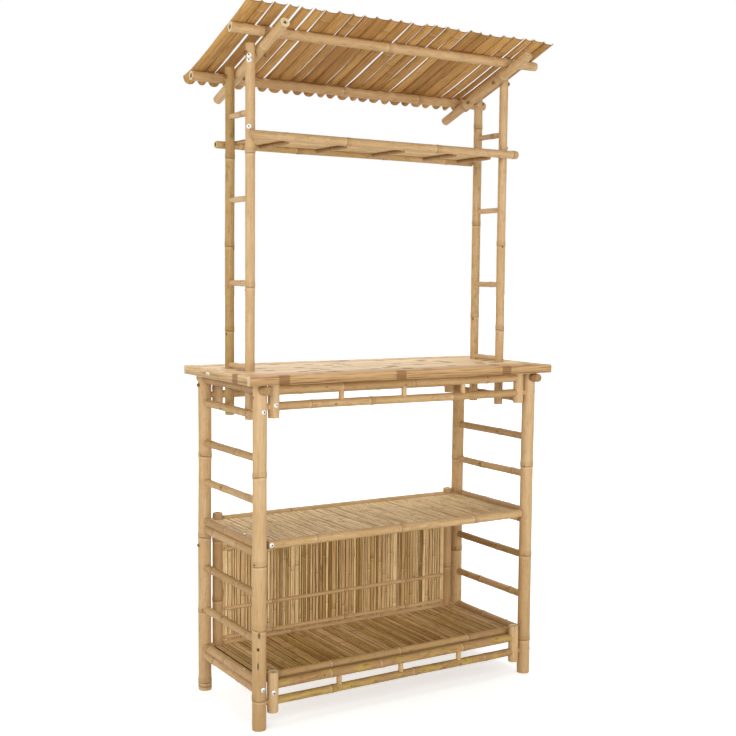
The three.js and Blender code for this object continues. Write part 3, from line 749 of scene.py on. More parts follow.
def sanded_bamboo_culm(look):
    """Whole dry culm, sanded and thinly varnished: a satin straw skin with fine long fibres, tan
    and brown patches, greenish clouds where it is worn, and a dark line at each node."""
    skin = BambooPattern("bamboo_culm_sanded_varnished", {
        "fine": (1.4, 70, 4, 0.6), "streak": (4.5, 150, 3, 0.55), "patch": (26, 110, 3, 0.55),
        "mottle": (8, 26, 5, 0.7), "cloud": (40, 70, 2, 0.55), "speck": (2.0, 5, 2, 0.55),
    })
    tint = skin.lay(
        look.straw,
        ("tone", (-0.3, 1.4), (0, 1), look.tan),
        ("patch", (0.32, 0.68), (0, 0.5), look.tan),
        ("tone", (0.55, 1.1), (0, 0.5), look.mottle),
        ("cloud", (0.40, 0.60), (0, 0.85), look.green, ("wear", 2.0, -1.0)),
        ("streak", (0.46, 0.74), (0, 0.5), look.tan),
        ("streak", (0.26, 0.44), (0.35, 0), look.straw),
        ("fine", (0.48, 0.76), (0, 0.55), look.mottle),
        ("mottle", (0.50, 0.68), (0, 1), look.mottle, ("wear", 0.75, 0.06)),
        ("speck", (0.64, 0.76), (0, 1), look.node_line, ("wear", 0.8, 0.1)),
        *node_marks(look, 0.75, 0.2, 0.4, "cloud"),
    )
    return skin.finish(tint, (0.48, 0.60), 0.00035, ("fine", "mottle"), specular=0.3)


def sawn_bamboo_end(look):
    """Culm sawn through: pale matt fibre ends with darker vessels, and a brown wall inside the bore
    that is painted darker with depth, as painted shade."""
    cut = BambooPattern("bamboo_culm_sawn_end", {"cloud": (5, 5, 3, 0.55)})
    vessels = add_node(cut.tree, "ShaderNodeTexVoronoi", None, {"Vector": cut.grain, "Scale": 0.9})
    cut.sources["vessels"] = vessels.outputs["Distance"]
    tint = cut.lay(
        look.sawn,
        ("vessels", (0.12, 0.34), (0.55, 0), look.pores),
        ("cloud", (0.4, 0.7), (0, 0.45), look.tan),
        # scar: painted shade down an open bore, and dirt and painted shade at the corners of slat
        # ends
        ("scar", (0, 1), (0, 1), look.scar),
    )
    return cut.finish(tint, (0.66, 0.8), 0.0003, ("cloud", "vessels"), specular=0.25)


def split_bamboo(name, look, tones, contrast, blotches, node_share):
    """The pattern shared by split slats: each slat's own tone, long fibres, blotches, splits and
    crossing nodes."""
    slat = BambooPattern(name, {
        "fine": (1.2, 60, 4, 0.6), "broad": (4.0, 170, 3, 0.55), "patch": (13, 45, 4, 0.65),
        "speck": (2.2, 4.5, 2, 0.55), "slow": (8, 420, 2, 0.55),
    })
    steps = len(tones) - 1
    stops = [(index / steps, tint) for index, tint in enumerate(tones)]
    base = add_node(slat.tree, "ShaderNodeValToRGB", None, {0: slat.sources["tone"]}, stops)
    tint = slat.lay(
        base.outputs[0],
        ("broad", (0.46, 0.72), (0, contrast), look.mottle),
        ("broad", (0.26, 0.44), (contrast, 0), look.slat_light),
        ("patch", (0.50, 0.72), (0, blotches), look.mottle),
        ("fine", (0.50, 0.74), (0, contrast * 1.3), look.node_line),
        ("split", (0.006, 0.028), (contrast * 1.5, 0), look.node_line),
        ("speck", (0.66, 0.76), (0, 1), look.scar, ("wear", 1, 0)),
        *node_marks(look, node_share, node_share * 0.25, node_share * 0.6, "patch"),
    )
    return slat.finish(tint, (0.58, 0.72), 0.0004, ("fine", "broad"), specular=0.12)


def split_bamboo_slat(look):
    """Culm split and flattened into slats for shelves and panel: matt and fibrous, from pale over
    pinkish and olive to dark brown."""
    tones = (look.slat_light, look.slat_pink, look.slat_olive, look.slat_brown, look.slat_dark)
    return split_bamboo("bamboo_split_slat", look, tones, 0.40, 0.22, 0.6)


def split_roof_slat(look):
    """Half culms, bark side down, for the roof: warm brown skin with long streaks, and a paler
    inner face."""
    tones = (look.roof_inner, look.roof_light, look.roof_dark)
    return split_bamboo("bamboo_split_roof_culm", look, tones, 0.30, 0.4, 0.6)


def weathered_slat_end(look):
    """Ends and edges of the roof's slats, sawn and then weathered: matt grey brown, fibrous."""
    end = BambooPattern(
        "bamboo_split_end_weathered", {"cloud": (3, 3, 4, 0.55), "fine": (1, 1, 2, 0.5)}
    )
    tint = end.lay(look.pores, ("cloud", (0.35, 0.65), (0, 1), look.node_line))
    return end.finish(tint, (0.66, 0.8), 0.0003, ("cloud", "fine"), specular=0.2)


def planed_bamboo_strip(look):
    """Bamboo strips, planed flush and oiled, for the counter: pale, with fine grain, brown node
    blocks and a low even sheen."""
    strip = BambooPattern("bamboo_strip_planed_oiled", {
        "fine": (1.3, 90, 4, 0.6), "broad": (5, 190, 3, 0.55), "patch": (14, 60, 4, 0.6),
    })
    tint = strip.lay(
        look.strip_light,
        ("tone", (0, 1), (0, 1), look.strip_dark),
        ("broad", (0.44, 0.70), (0, 0.55), look.strip_dark),
        ("patch", (0.52, 0.72), (0, 0.6), look.strip_dark),
        ("patch", (0.64, 0.78), (0, 0.6), look.strip_node),
        ("broad", (0.48, 0.64), (0, 0.9), look.strip_node, ("wear", 1, 0)),
        ("fine", (0.52, 0.78), (0, 0.45), look.strip_node),
        ("line", (14, 20), (0.7, 0), look.strip_node, ("fine", 1.2, 0.4)),
        # scar: dirt in the joints, and the painted shade along the edge strips' lower edges
        ("scar", (0, 1), (0, 1), look.scar),
    )
    return strip.finish(tint, (0.58, 0.68), 0.00015, ("fine", "broad"), specular=0.25)


def bright_zinc(look):
    """Steel bolts and washers, zinc plated: bright pale metal, faintly clouded, yellowed on
    some bolts, with painted shade in the sockets."""
    zinc = BambooPattern(
        "steel_zinc_plated", {"cloud": (2.5, 2.5, 3, 0.55), "fine": (0.8, 0.8, 2, 0.5)}
    )
    tint = zinc.lay(
        look.zinc,
        ("cloud", (0.35, 0.7), (0, 0.4), look.zinc_cloud),
        ("tone", (0, 1), (0, 1), look.zinc_yellow),
        # scar: the painted shade of the sockets
        ("scar", (0, 1), (0, 1), look.socket),
    )
    return zinc.finish(tint, (0.38, 0.52), 0.00004, ("cloud", "fine"), metallic=1.0)


def white_floor(look):
    """Seamless pale studio floor, matt paper: white where it is lit, faintly grey in the shadow.
    Its glow for the camera grows with the distance from the hut, where the lamps no longer
    reach."""
    made, tree = bare_material("studio_floor_paper")
    place = add_node(tree, "ShaderNodeTexCoord").outputs["Object"]
    cloud = add_node(tree, "ShaderNodeTexNoise", None, {"Vector": place, "Scale": 3.0})
    stops = [(0.2, look.floor), (0.8, look.floor_cloud)]
    tint = add_node(tree, "ShaderNodeValToRGB", None, {0: cloud.outputs["Fac"]}, stops).outputs[0]
    far = add_node(tree, "ShaderNodeVectorMath", {"operation": "LENGTH"}, {0: place})
    strength = add_node(
        tree, "ShaderNodeMapRange", {"interpolation_type": "SMOOTHSTEP"},
        {
            "Value": far.outputs["Value"], "From Min": 1.2, "From Max": 4.0, "To Min": 0.55,
            "To Max": 1.0,
        },
    )
    glow = add_node(tree, "ShaderNodeEmission", None, {"Strength": strength.outputs["Result"]})
    paper = add_node(tree, "ShaderNodeBsdfDiffuse", None, {"Color": tint})
    both = add_node(tree, "ShaderNodeAddShader", None, {0: paper.outputs[0], 1: glow.outputs[0]})
    seen = seen_directly(tree)
    mixed = add_node(
        tree, "ShaderNodeMixShader", None, {0: seen, 1: paper.outputs[0], 2: both.outputs[0]}
    )
    add_node(tree, "ShaderNodeOutputMaterial", None, {"Surface": mixed.outputs[0]})
    return made


MAKERS = {
    "culm": sanded_bamboo_culm,
    "sawn": sawn_bamboo_end,
    "slat": split_bamboo_slat,
    "roof": split_roof_slat,
    "roof_end": weathered_slat_end,
    "strip": planed_bamboo_strip,
    "zinc": bright_zinc,
    "floor": white_floor,
}
made_materials = {}


def material(kind):
    """The material of a kind, made once."""
    if kind not in made_materials:
        made_materials[kind] = MAKERS[kind](bpy.context.scene.bamboo_hut.finish)
    return made_materials[kind]


def culm_piece(name, nodes, shape):
    shape.piece(name, nodes, "bamboo_pole", (material("culm"), material("sawn")))


def split_piece(name, node, shape):
    shape.piece(name, [node], "split_bamboo", (material("slat"), material("sawn")))


def single_culm(node, line, diameter, shares, wear, **more):
    """A piece of one culm that takes the place of one node. More words go on to add_culm."""
    shape = Shaping(wear)
    add_culm(shape, *line, diameter, shares, **more)
    culm_piece(f"{node}_culm", [node], shape)


# ---- pieces ----

# Diameters of the culms: POLE for posts, rafters and purlins, TENON for rail ends in a mortise
LEG, POLE, RAIL, THIN_RAIL, RUNG, TENON = 0.040, 0.028, 0.026, 0.024, 0.022, 0.018
# How far from the middle of the hut the short posts stand, and the tenons end
SHORT_POST_X, TENON_X = 0.4325, 0.461


def add_tenons(shape, reach, y, z, tone, seed):
    """The thin ends of a rail that goes from leg to leg."""
    for side in (-1, 1):
        add_culm(
            shape, *line_along((side * reach, side * TENON_X), y, z), TENON, tone=tone, seed=seed,
            sides=16, kink=0,
        )


def add_battens(shape, lines, seed, diameter, node_shares, tone, kink):
    """Thin culms that carry slats."""
    for index, line in enumerate(lines, seed):
        add_culm(shape, *line, diameter, node_shares, tone=tone, seed=index, sides=14, kink=kink)


# Each leg by the shares of its height at its nodes, its tones at foot and top, its wear, and its
# branch scars: angle, height over the floor, width, height and darkness. The darker tone at the
# foot is painted shade, darker towards the floor.
LEGS = {
    "front_left": (
        (0.09, 0.294, 0.48, 0.735), (1.0, 0.2), 0.12,
        (
            (334, 0.275, 0.010, 0.028, 0.75), (326, 0.235, 0.011, 0.014, 1.0),
            (325, 0.187, 0.006, 0.032, 0.9), (272, 0.938, 0.007, 0.010, 0.9),
            (290, 0.474, 0.009, 0.006, 0.9),
        ),
    ),
    "front_right": (
        (0.11, 0.397, 0.694), (0.8, 0.35), 0.3,
        ((318, 0.39, 0.007, 0.009, 0.6), (300, 0.677, 0.008, 0.008, 0.5)),
    ),
    "back_left": (
        (0.0115, 0.0245, 0.25, 0.488, 0.743), (0.6, 0.45), 0.35,
        ((300, 0.727, 0.008, 0.010, 0.5), (318, 0.252, 0.007, 0.010, 0.6)),
    ),
    "back_right": ((0.05, 0.337, 0.664), (0.7, 0.6), 0.6, ((320, 0.335, 0.008, 0.010, 0.7),)),
}


class HUT_OT_legs(Operator):
    """Four legs, each a single culm sawn square at the floor"""

    bl_idname = "hut.legs"
    bl_label = "Legs"

    def execute(self, context):
        for seed, (place, (shares, tones, wear, scars)) in enumerate(LEGS.items(), 11):
            node = f"leg_{place}"
            single_culm(
                node, middle_line(node, 2), LEG, shares, wear, tone=tones, seed=seed, sides=32,
                kink=0.0016, scars=scars,
            )
        return {"FINISHED"}


# The tones of the five rungs of a side frame, and the nodes of every other one
RUNG_TONES = 0.7, 0.8, 0.66, 0.9, 0.74
RUNG_NODES = (0.62, 0.16), (0.36, 0.83)
# How far the middles of a pair's two poles lie inside the box of their node
PAIR_INSIDE = 0.0146


class HUT_OT_side_frames(Operator):
    """Side top rails, single rungs and the rung pairs beside the shelves"""

    bl_idname = "hut.side_frames"
    bl_label = "Side rails and rungs"

    def execute(self, context):
        for side_name, side in SIDES:
            node = f"side_top_rail_{side_name}"
            single_culm(
                node, middle_line(node, 1), RAIL, (0.035, 0.3, 0.74), 0.5, opens=(False, True),
                tone=1.05, seed=31 + side, kink=0, bore_share=0.3,
            )
            for index, tone in enumerate(RUNG_TONES):
                node = f"side_rung_{side_name}_{index + 1}"
                line = middle_line(node, 1)
                shares = RUNG_NODES[index % 2]
                scar_place = shares[0] * (line[1] - line[0]).length + 4 * MM
                scar = (250 + 18 * index, scar_place, 0.006, 0.009, 0.8)
                single_culm(
                    node, line, RUNG, shares, 0.65, tone=tone, seed=41 + 7 * index + side, sides=20,
                    scars=(scar,) if index % 2 == 0 or side > 0 else (),
                )
            for shelf_name in ("mid", "low"):
                node = f"{shelf_name}_shelf_rung_pair_{side_name}"
                low, high = corners(node)
                x = (low.x + high.x) / 2
                shape = Shaping(0.5)
                for z, shares, tone in (
                    (high.z - PAIR_INSIDE, (0.56, 0.9), 0.85),
                    (low.z + PAIR_INSIDE, (0.32, 0.78), 0.7),
                ):
                    add_culm(
                        shape, *line_along(x, (low.y, high.y), z), RAIL, shares, tone=tone,
                        seed=int(z * 1000) + side, sides=20, kink=0.0005,
                    )
                culm_piece(f"{node}_culms", [node], shape)
        return {"FINISHED"}


# Usual width of a counter strip, the tones and dirt they are drawn from, and the gap between two
STRIP_WIDTH, STRIP_TONES, STRIP_DIRT = 0.022, (0, 0.1, 0.2, 0.35, 0.55, 0.85), (0.4, 0.7, 1.0)
STRIP_GAP = 0.5 * MM
# Each edge of the counter by the axis it runs along, its nodes, tone and wear
COUNTER_EDGES = {
    "front": (0, (0.104, 0.487, 0.876), 0.75, 0.9), "back": (0, (0.19, 0.52, 0.80), 0.66, 0.6),
    "left": (1, (0.078,), 0.45, 0.5), "right": (1, (0.21,), 0.6, 0.5),
}


class HUT_OT_counter(Operator):
    """The counter: planed strips laid along it, inside four edge strips"""

    bl_idname = "hut.counter"
    bl_label = "Counter"

    def execute(self, context):
        edge = context.scene.bamboo_hut.slat.strip_round
        rng = random.Random(5)
        looks = (material("strip"), material("sawn"))
        low, high = corners("counter_field")
        shape = Shaping(0.15)
        edges = slat_edges(low.y, high.y, STRIP_WIDTH)
        for index, (left, right) in enumerate(pairwise(edges)):
            nodes = []
            place = rng.uniform(0.05, 0.3)
            while place < high.x - low.x:
                nodes.append(place)
                place += rng.uniform(0.24, 0.42)
            add_slat(
                shape, Vector((low.x, (left + right) / 2, low.z)), X, Y, high.x - low.x,
                right - left - STRIP_GAP, high.z - low.z, tone=rng.choice(STRIP_TONES),
                seed=300 + index, columns=2, edge=edge, waver=0.05 * MM, node_lift=0.0,
                node_places=nodes, dirt=rng.choice(STRIP_DIRT),
            )
        shape.piece("counter_strips", ["counter_field"], "counter_bamboo", looks)
        for name, (along, places, tone, wear) in COUNTER_EDGES.items():
            node = f"counter_{name}_edge"
            low, high = corners(node)
            shape = Shaping(wear)
            direction, across = (X, Y) if along == 0 else (Y, X)
            start = (low + high) / 2
            # Each edge strip is painted darker along its lower edge (under): painted shade, darker
            # towards the bottom
            start[along], start.z = low[along], low.z
            add_slat(
                shape, start, direction, across, high[along] - low[along],
                high[1 - along] - low[1 - along], high.z - low.z, tone=tone, seed=340 + len(name),
                columns=2, edge=2.4 * MM, waver=0.0, node_lift=0.0, node_places=places, dirt=0.05,
                under=0.45,
            )
            shape.piece(f"{node}_strip", [node], "counter_bamboo", looks)
        return {"FINISHED"}


# The angle round a culm that runs along X at which its front faces the viewer
FRONT_OF_X_CULM = 262
# Diameters in an apron, where its outer spacers stand, and how far the body of its lower rail goes
# past the middle of a short post
SHORT_POST, UPPER_RAIL, SPACER, SPACER_X, BODY_PAST_POST = 0.0325, 0.0252, 0.016, 0.2155, 0.00735
# Each apron by the heights, nodes and tones of its two rails, which ends of its short posts are
# open, how worn the rails are, its seed, and where the lower rail has a branch scar
APRONS = {
    "counter_front_apron": (
        (0.9582, 0.911), ((0.255, 0.54, 0.85), (0.14, 0.365, 0.70)), (0.76, 0.72), (True, False),
        0.6, 71, 0.2,
    ),
    "counter_back_apron": (
        (0.957, 0.911), ((0.18, 0.5, 0.77), (0.33, 0.66)), (0.6, 0.7), (True, False), 0.6, 81, 0.2,
    ),
    "low_front_apron": (
        (0.121, 0.075), ((0.22, 0.42, 0.765), (0.224, 0.554, 0.86)), (1.15, 1.35), (False, True),
        1.15, 91, 0.655,
    ),
}


class HUT_OT_aprons(Operator):
    """Three aprons: short posts beside the legs, two rails and three spacers"""

    bl_idname = "hut.aprons"
    bl_label = "Aprons"

    def execute(self, context):
        for name, (heights, shares, tones, opens, wear, seed, low_scar) in APRONS.items():
            upper_z, lower_z = heights
            low, high = corners(name)
            y = (low.y + high.y) / 2
            shape = Shaping(0.3)
            for side in (-1, 1):
                scars = ((250, 0.05, 0.006, 0.010, 0.6),) if name == "counter_back_apron" else ()
                add_culm(
                    shape, *line_along(side * SHORT_POST_X, y, (low.z, high.z)), SHORT_POST,
                    opens=opens, tone=0.3, seed=seed + side, kink=0, scars=scars, bore_share=0.6,
                    bore_depth=0.009,
                )
            shape.wear = wear
            add_culm(
                shape, *line_along((-SHORT_POST_X, SHORT_POST_X), y, upper_z), UPPER_RAIL,
                shares[0], tone=tones[0], seed=seed + 3, sides=20,
                scars=(
                    (FRONT_OF_X_CULM, 0.1612, 0.007, 0.010, 0.6),
                    (FRONT_OF_X_CULM + 30, 0.431, 0.006, 0.009, 0.8),
                ),
            )
            reach = SHORT_POST_X + BODY_PAST_POST
            add_culm(
                shape, *line_along((-reach, reach), y, lower_z), THIN_RAIL, shares[1],
                tone=tones[1], seed=seed + 4, sides=20,
                scars=((FRONT_OF_X_CULM + 20, low_scar, 0.007, 0.011, 0.75),),
            )
            shape.wear = 0.3
            add_tenons(shape, reach, y, lower_z, tones[1], seed + 5)
            for index, x in enumerate((-SPACER_X, 0.0, SPACER_X), 6):
                add_culm(
                    shape, *line_along(x, y, (lower_z, upper_z)), SPACER, tone=0.35,
                    seed=seed + index, sides=16, kink=0,
                )
            culm_piece(f"{name}_culms", [name], shape)
        return {"FINISHED"}


# Each shelf by its front rail's height, distance behind the front legs, half length, nodes and
# tone, then the tones of its slats, how much paler their back ends are painted, as painted light
# where shade falls from what lies above, and its seed
SHELVES = {
    "mid_shelf": (
        (0.523, 0.0, 0.450, (0.17, 0.49, 0.79), 0.5), (0.0, 0.0, 0.06, 0.1, 0.18, 0.34), 0.5, 401,
    ),
    "low_shelf": (
        (0.132, 0.0349, 0.4601, (0.26, 0.52, 0.80), 0.85), (0.36, 0.44, 0.52, 0.6, 0.68, 0.78),
        0.35, 451,
    ),
}
# Half the length of a shelf, how far its outer slats stay inside that, and where the slats beside
# the legs begin
SHELF_HALF, SHELF_INSIDE, LEG_INSIDE = 0.4601, 8 * MM, 0.45
# How far before the middle of the back legs the shelves end, how far their top lies over the middle
# of the front rail, and how far the slats and the middles of the end rails lie below it
SHELF_END, SHELF_LIFT, SLAT_UNDER, END_RAIL_UNDER = 0.0153, 0.006, 0.007, 0.0184
# Where an end rail lies, how far it and the slats, beside a leg or not, begin behind the front rail
END_RAIL_X, END_RAIL_START, BESIDE_LEG_START, SLAT_START = 0.4427, 0.012, 0.0235, 0.006
# Where the slats of the shelves are split, as shares of their width
SHELF_SPLITS = (), (0.45,), (0.55,), (0.5,), (0.35, 0.7)


class HUT_OT_shelves(Operator):
    """The middle and the lower shelf: split slats, front rail and end rails"""

    bl_idname = "hut.shelves"
    bl_label = "Shelves"

    def execute(self, context):
        sizes = context.scene.bamboo_hut.slat
        back_y = middle_line("leg_back_left", 2)[0].y - SHELF_END
        for node, (rail, tones, paler, seed) in SHELVES.items():
            rail_z, inset, rail_half, shares, rail_tone = rail
            rng = random.Random(seed)
            shape = Shaping(0.6)
            rail_y = middle_line("leg_front_left", 2)[0].y + inset
            top = rail_z + SHELF_LIFT
            edges = slat_edges(-SHELF_HALF, SHELF_HALF, 0.027, 0.16)
            edges[0] += SHELF_INSIDE
            edges[-1] -= SHELF_INSIDE
            splits = split_further(edges, SHELF_SPLITS, rng)
            for index, (left, right) in enumerate(pairwise(splits)):
                middle = (left + right) / 2
                is_beside_leg = abs(middle) + (right - left) / 2 > LEG_INSIDE
                nodes = [rng.uniform(0.03, 0.2), rng.uniform(0.22, 0.36)]
                tone = rng.choice(tones)
                dirt, edge = (1.0, 2.2) if left in edges else (0.6, 0.8)
                # The back ends of the slats are painted paler: painted light against the shade from
                # above
                add_slat(
                    shape, Vector((middle, rail_y, top - SLAT_UNDER - rng.uniform(0, 0.7) * MM)), Y,
                    X, back_y - rail_y, right - left - sizes.joint * rng.uniform(0.2, 1.5),
                    SHELF_SLAT, arch=0.7 * MM, node_places=nodes, tone=(tone, tone - paler),
                    seed=seed + index, columns=4,
                    start_cut=BESIDE_LEG_START if is_beside_leg else SLAT_START,
                    end_cut=rng.uniform(4, 9) * MM, dirt=dirt, edge=edge * MM,
                )
            split_piece(f"{node}_slats", node, shape)
            shape = Shaping(0.6)
            add_culm(
                shape, *line_along((-rail_half, rail_half), rail_y, rail_z), RAIL, shares,
                tone=rail_tone, seed=seed + 90,
            )
            for side in (-1, 1):
                line = line_along(
                    side * END_RAIL_X, (rail_y + END_RAIL_START, back_y), top - END_RAIL_UNDER
                )
                add_culm(shape, *line, THIN_RAIL, (0.4,), seed=seed + 92 + side, sides=16, kink=0)
            culm_piece(f"{node}_rails", [node], shape)
        return {"FINISHED"}


# The tones of the panel's slats, and where these are split, as shares of their width
PANEL_TONES = 0.0, 0.0, 0.06, 0.12, 0.18, 0.22, 0.25, 0.28, 0.32, 0.42, 0.62, 0.72, 0.82
PANEL_SPLITS = (0.4,), (0.5,), (0.6,), (0.36, 0.7), (0.3, 0.64)


class HUT_OT_back_panel(Operator):
    """The panel behind the lower bay: stiles, rails, upright slats and battens"""

    bl_idname = "hut.back_panel"
    bl_label = "Back panel"

    def execute(self, context):
        sizes = context.scene.bamboo_hut.slat
        for side_name, side in SIDES:
            node = f"panel_stile_{side_name}"
            line = [place + X * side * 2 * MM for place in middle_line(node, 2)]
            single_culm(
                node, line, 0.0315, (0.37, 0.8), 0.35, opens=(False, True), tone=0.8,
                seed=501 + side, kink=0.0006,
                scars=((215 if side < 0 else 250, 0.168, 0.006, 0.010, 0.75),),
            )
        for name in ("top", "bottom"):
            node = f"panel_{name}_rail"
            start = middle_line(node, 0)[0]
            reach = 0.4145
            shape = Shaping(0.4)
            add_culm(
                shape, *line_along((-reach, reach), start.y, start.z), RAIL, (0.28, 0.69), tone=0.4,
                seed=511 + len(name), kink=0.0006,
            )
            add_tenons(shape, reach, start.y, start.z, 0.4, 515)
            culm_piece(f"{node}_culm", [node], shape)
        low, high = corners("panel_slats")
        total = high.z - low.z
        rng = random.Random(77)
        shape = Shaping(0.7)
        # The slats reach a little into the rails and stiles
        touch = 1.9 * MM
        edges = slat_edges(low.x, high.x, 0.024, 0.22)
        edges[0] -= 3 * touch
        edges[-1] += 3 * touch
        splits = split_further(edges, PANEL_SPLITS, rng)
        for index, (left, right) in enumerate(pairwise(splits)):
            # The slats get darker from the left edge to the middle
            tone = rng.choice(PANEL_TONES) * min(1.0, 0.2 + index / 50)
            y = high.y - 0.0006 - rng.uniform(0, 1) * MM
            add_slat(
                shape, Vector(((left + right) / 2, y, low.z - 3 * touch)), Z, X, total + 4 * touch,
                right - left - sizes.panel_joint * rng.uniform(0.3, 1.3), PANEL_SLAT, arch=0.9 * MM,
                node_places=[rng.uniform(0.03, 0.33)], tone=tone, seed=600 + index, columns=3,
                dirt=1.0, waver=0.2 * MM, edge=(1.4 if left in edges else 0.8) * MM,
            )
        split_piece("panel_slats_split", "panel_slats", shape)
        shape = Shaping(0.4)
        lines = [
            line_along((low.x, high.x), low.y + 0.0062, low.z + share * total + 0.0065)
            for share in (0.0, 0.25, 0.77)
        ]
        add_battens(shape, lines, 700, 0.0125, (0.2, 0.52, 0.81), 0.45, 0.0004)
        culm_piece("panel_battens", ["panel_slats"], shape)
        return {"FINISHED"}


# Heights of each post's nodes, its tone and wear, and its branch scars: angle, height, darkness
POSTS = {
    "front_left": ((1.2400, 1.6137), 0.3, 0.2, ((262, 1.231, 0.8),)),
    "back_left": ((1.1086, 1.3546, 1.6105), 0.95, 0.8, ((296, 1.100, 1.0), (28, 1.350, 1.0))),
    "front_right": ((1.1028, 1.3750), 0.4, 0.4, ((340, 1.371, 0.8),)),
    "back_right": ((1.1412, 1.4431, 1.7595), 0.25, 0.65, ((300, 1.135, 0.9), (290, 1.752, 0.6))),
}


class HUT_OT_posts(Operator):
    """Four posts through the counter, with the rungs between them"""

    bl_idname = "hut.posts"
    bl_label = "Posts"

    def execute(self, context):
        for seed, (place, (heights, tone, wear, scars)) in enumerate(POSTS.items(), 801):
            node = f"post_{place}"
            start, end = middle_line(node, 2)
            single_culm(
                node, (start, end), POLE, [(z - start.z) / (end.z - start.z) for z in heights],
                wear, opens=(False, True), tone=tone, seed=seed, kink=0.0009,
                scars=[(turn, z - start.z, 0.007, 0.010, dark) for turn, z, dark in scars],
            )
        for side_name, _ in SIDES:
            for index in range(4):
                node = f"post_rung_{side_name}_{index + 1}"
                single_culm(
                    node, middle_line(node, 1), 0.017, (0.3,) if index % 2 else (), 0.1, tone=-0.2,
                    seed=830 + index, sides=18, kink=0,
                )
        return {"FINISHED"}


# The spans within which the nodes of a deck slat are drawn
DECK_NODES = (0.05, 0.3), (0.35, 0.55), (0.6, 0.8)


class HUT_OT_upper_shelf(Operator):
    """The upper shelf: two rails, five battens and a slatted deck"""

    bl_idname = "hut.upper_shelf"
    bl_label = "Upper shelf"

    def execute(self, context):
        for name, diameter, shares, opens, tone, wear in (
            ("front", 0.025, (0.325, 0.665, 0.98), (False, True), 0.42, 0.5),
            ("back", 0.022, (0.09, 0.29, 0.62, 0.88), (True, True), 0.68, 0.8),
        ):
            node = f"upper_shelf_{name}_rail"
            single_culm(
                node, middle_line(node, 0), diameter, shares, wear, opens=opens, tone=tone,
                seed=901 + len(name), bore_share=0.55,
            )
        low, high = corners("upper_shelf_deck")
        front = middle_line("upper_shelf_front_rail", 0)[0].y + 0.0128
        rng = random.Random(9)
        shape = Shaping(0.6)
        edges = slat_edges(front, high.y, 0.026)
        for index, (left, right) in enumerate(pairwise(edges)):
            add_slat(
                shape, Vector((low.x, (left + right) / 2, high.z - 0.005)), X, Y, high.x - low.x,
                right - left - 1.2 * MM, DECK_SLAT, arch=0.4 * MM,
                node_places=[rng.uniform(*span) for span in DECK_NODES],
                tone=rng.uniform(0.0, 0.45), seed=920 + index, columns=4, dirt=1.0,
                start_cut=rng.uniform(0, 2) * MM, end_cut=rng.uniform(0, 5) * MM,
            )
        split_piece("upper_shelf_slats", "upper_shelf_deck", shape)
        shape = Shaping(0.5)
        lines = [
            line_along(low.x + share * (high.x - low.x), (low.y + 0.009, high.y), low.z + 0.0065)
            for share in (0.11, 0.34, 0.58, 0.81, 0.97)
        ]
        add_battens(shape, lines, 940, 0.013, (0.45,), 1.2, 0)
        culm_piece("upper_shelf_battens", ["upper_shelf_deck"], shape)
        return {"FINISHED"}


# How far each joint between two roof slats stands open at its high end, middle and low end, as
# multiples of the usual gap
ROOF_GAPS = (
    (0.1, 0.1, 0.1), (0.9, 1.8, 0.6), (1.9, 1.4, 0.9), (2.2, 0.9, 0.4), (1.9, 0.8, 0.2),
    (0.9, 1.7, 1.5), (0.1, 0.1, 0.2), (0.5, 0.7, 0.1), (0.9, 0.4, 0.9), (0.1, 0.1, 0.1),
    (0.1, 0.4, 0.8), (0.1, 0.2, 0.6), (1.3, 1.7, 1.4), (0.7, 0.5, 0.8), (1.2, 0.1, 0.1),
    (1.3, 0.9, 0.2), (0.3, 1.4, 1.3), (1.4, 0.3, 0.1), (0.1, 0.1, 0.1), (0.1, 0.2, 0.1),
    (0.2, 0.1, 0.1), (0.4, 1.6, 1.7), (1.6, 1.6, 1.5), (1.2, 1.9, 1.8), (0.7, 0.5, 0.2),
)
ROOF_PITCH = math.radians(19.4)
DOWN_SLOPE = Vector((0, math.cos(ROOF_PITCH), -math.sin(ROOF_PITCH)))
ROOF_UP = Vector((0, math.sin(ROOF_PITCH), math.cos(ROOF_PITCH)))
# The rafters' middle line: its height over the front posts, its ends from them down the slope, and
# how far either rafter is from the middle of the hut
RAFTER_HEIGHT, RAFTER_X = 1.895, 0.4194
HIGH_END, LOW_END = -0.154 / math.cos(ROOF_PITCH), (0.1335 + 0.1475) / math.cos(ROOF_PITCH)
# How far the underside of the roof's slats lies above that line
SLATS_ABOVE = 0.0427
ROOF_SLATS, ROOF_HALF, ROOF_SLAT_LENGTH = 26, 0.527, 0.4715
ROOF_START = HIGH_END - 0.012
# The hold-down strips by their share of the rafters and their height over the slats' underside
HOLD_DOWN, HOLD_DOWN_HALF = ((0.22, 0.0124), (0.83, 0.0178)), 0.518


def on_rafter(x, along, above=0.0):
    """A point by its distance down the slope from the front posts and above the rafters' line."""
    post_y = middle_line("post_front_left", 2)[0].y
    return Vector((x, post_y, RAFTER_HEIGHT)) + DOWN_SLOPE * along + ROOF_UP * above


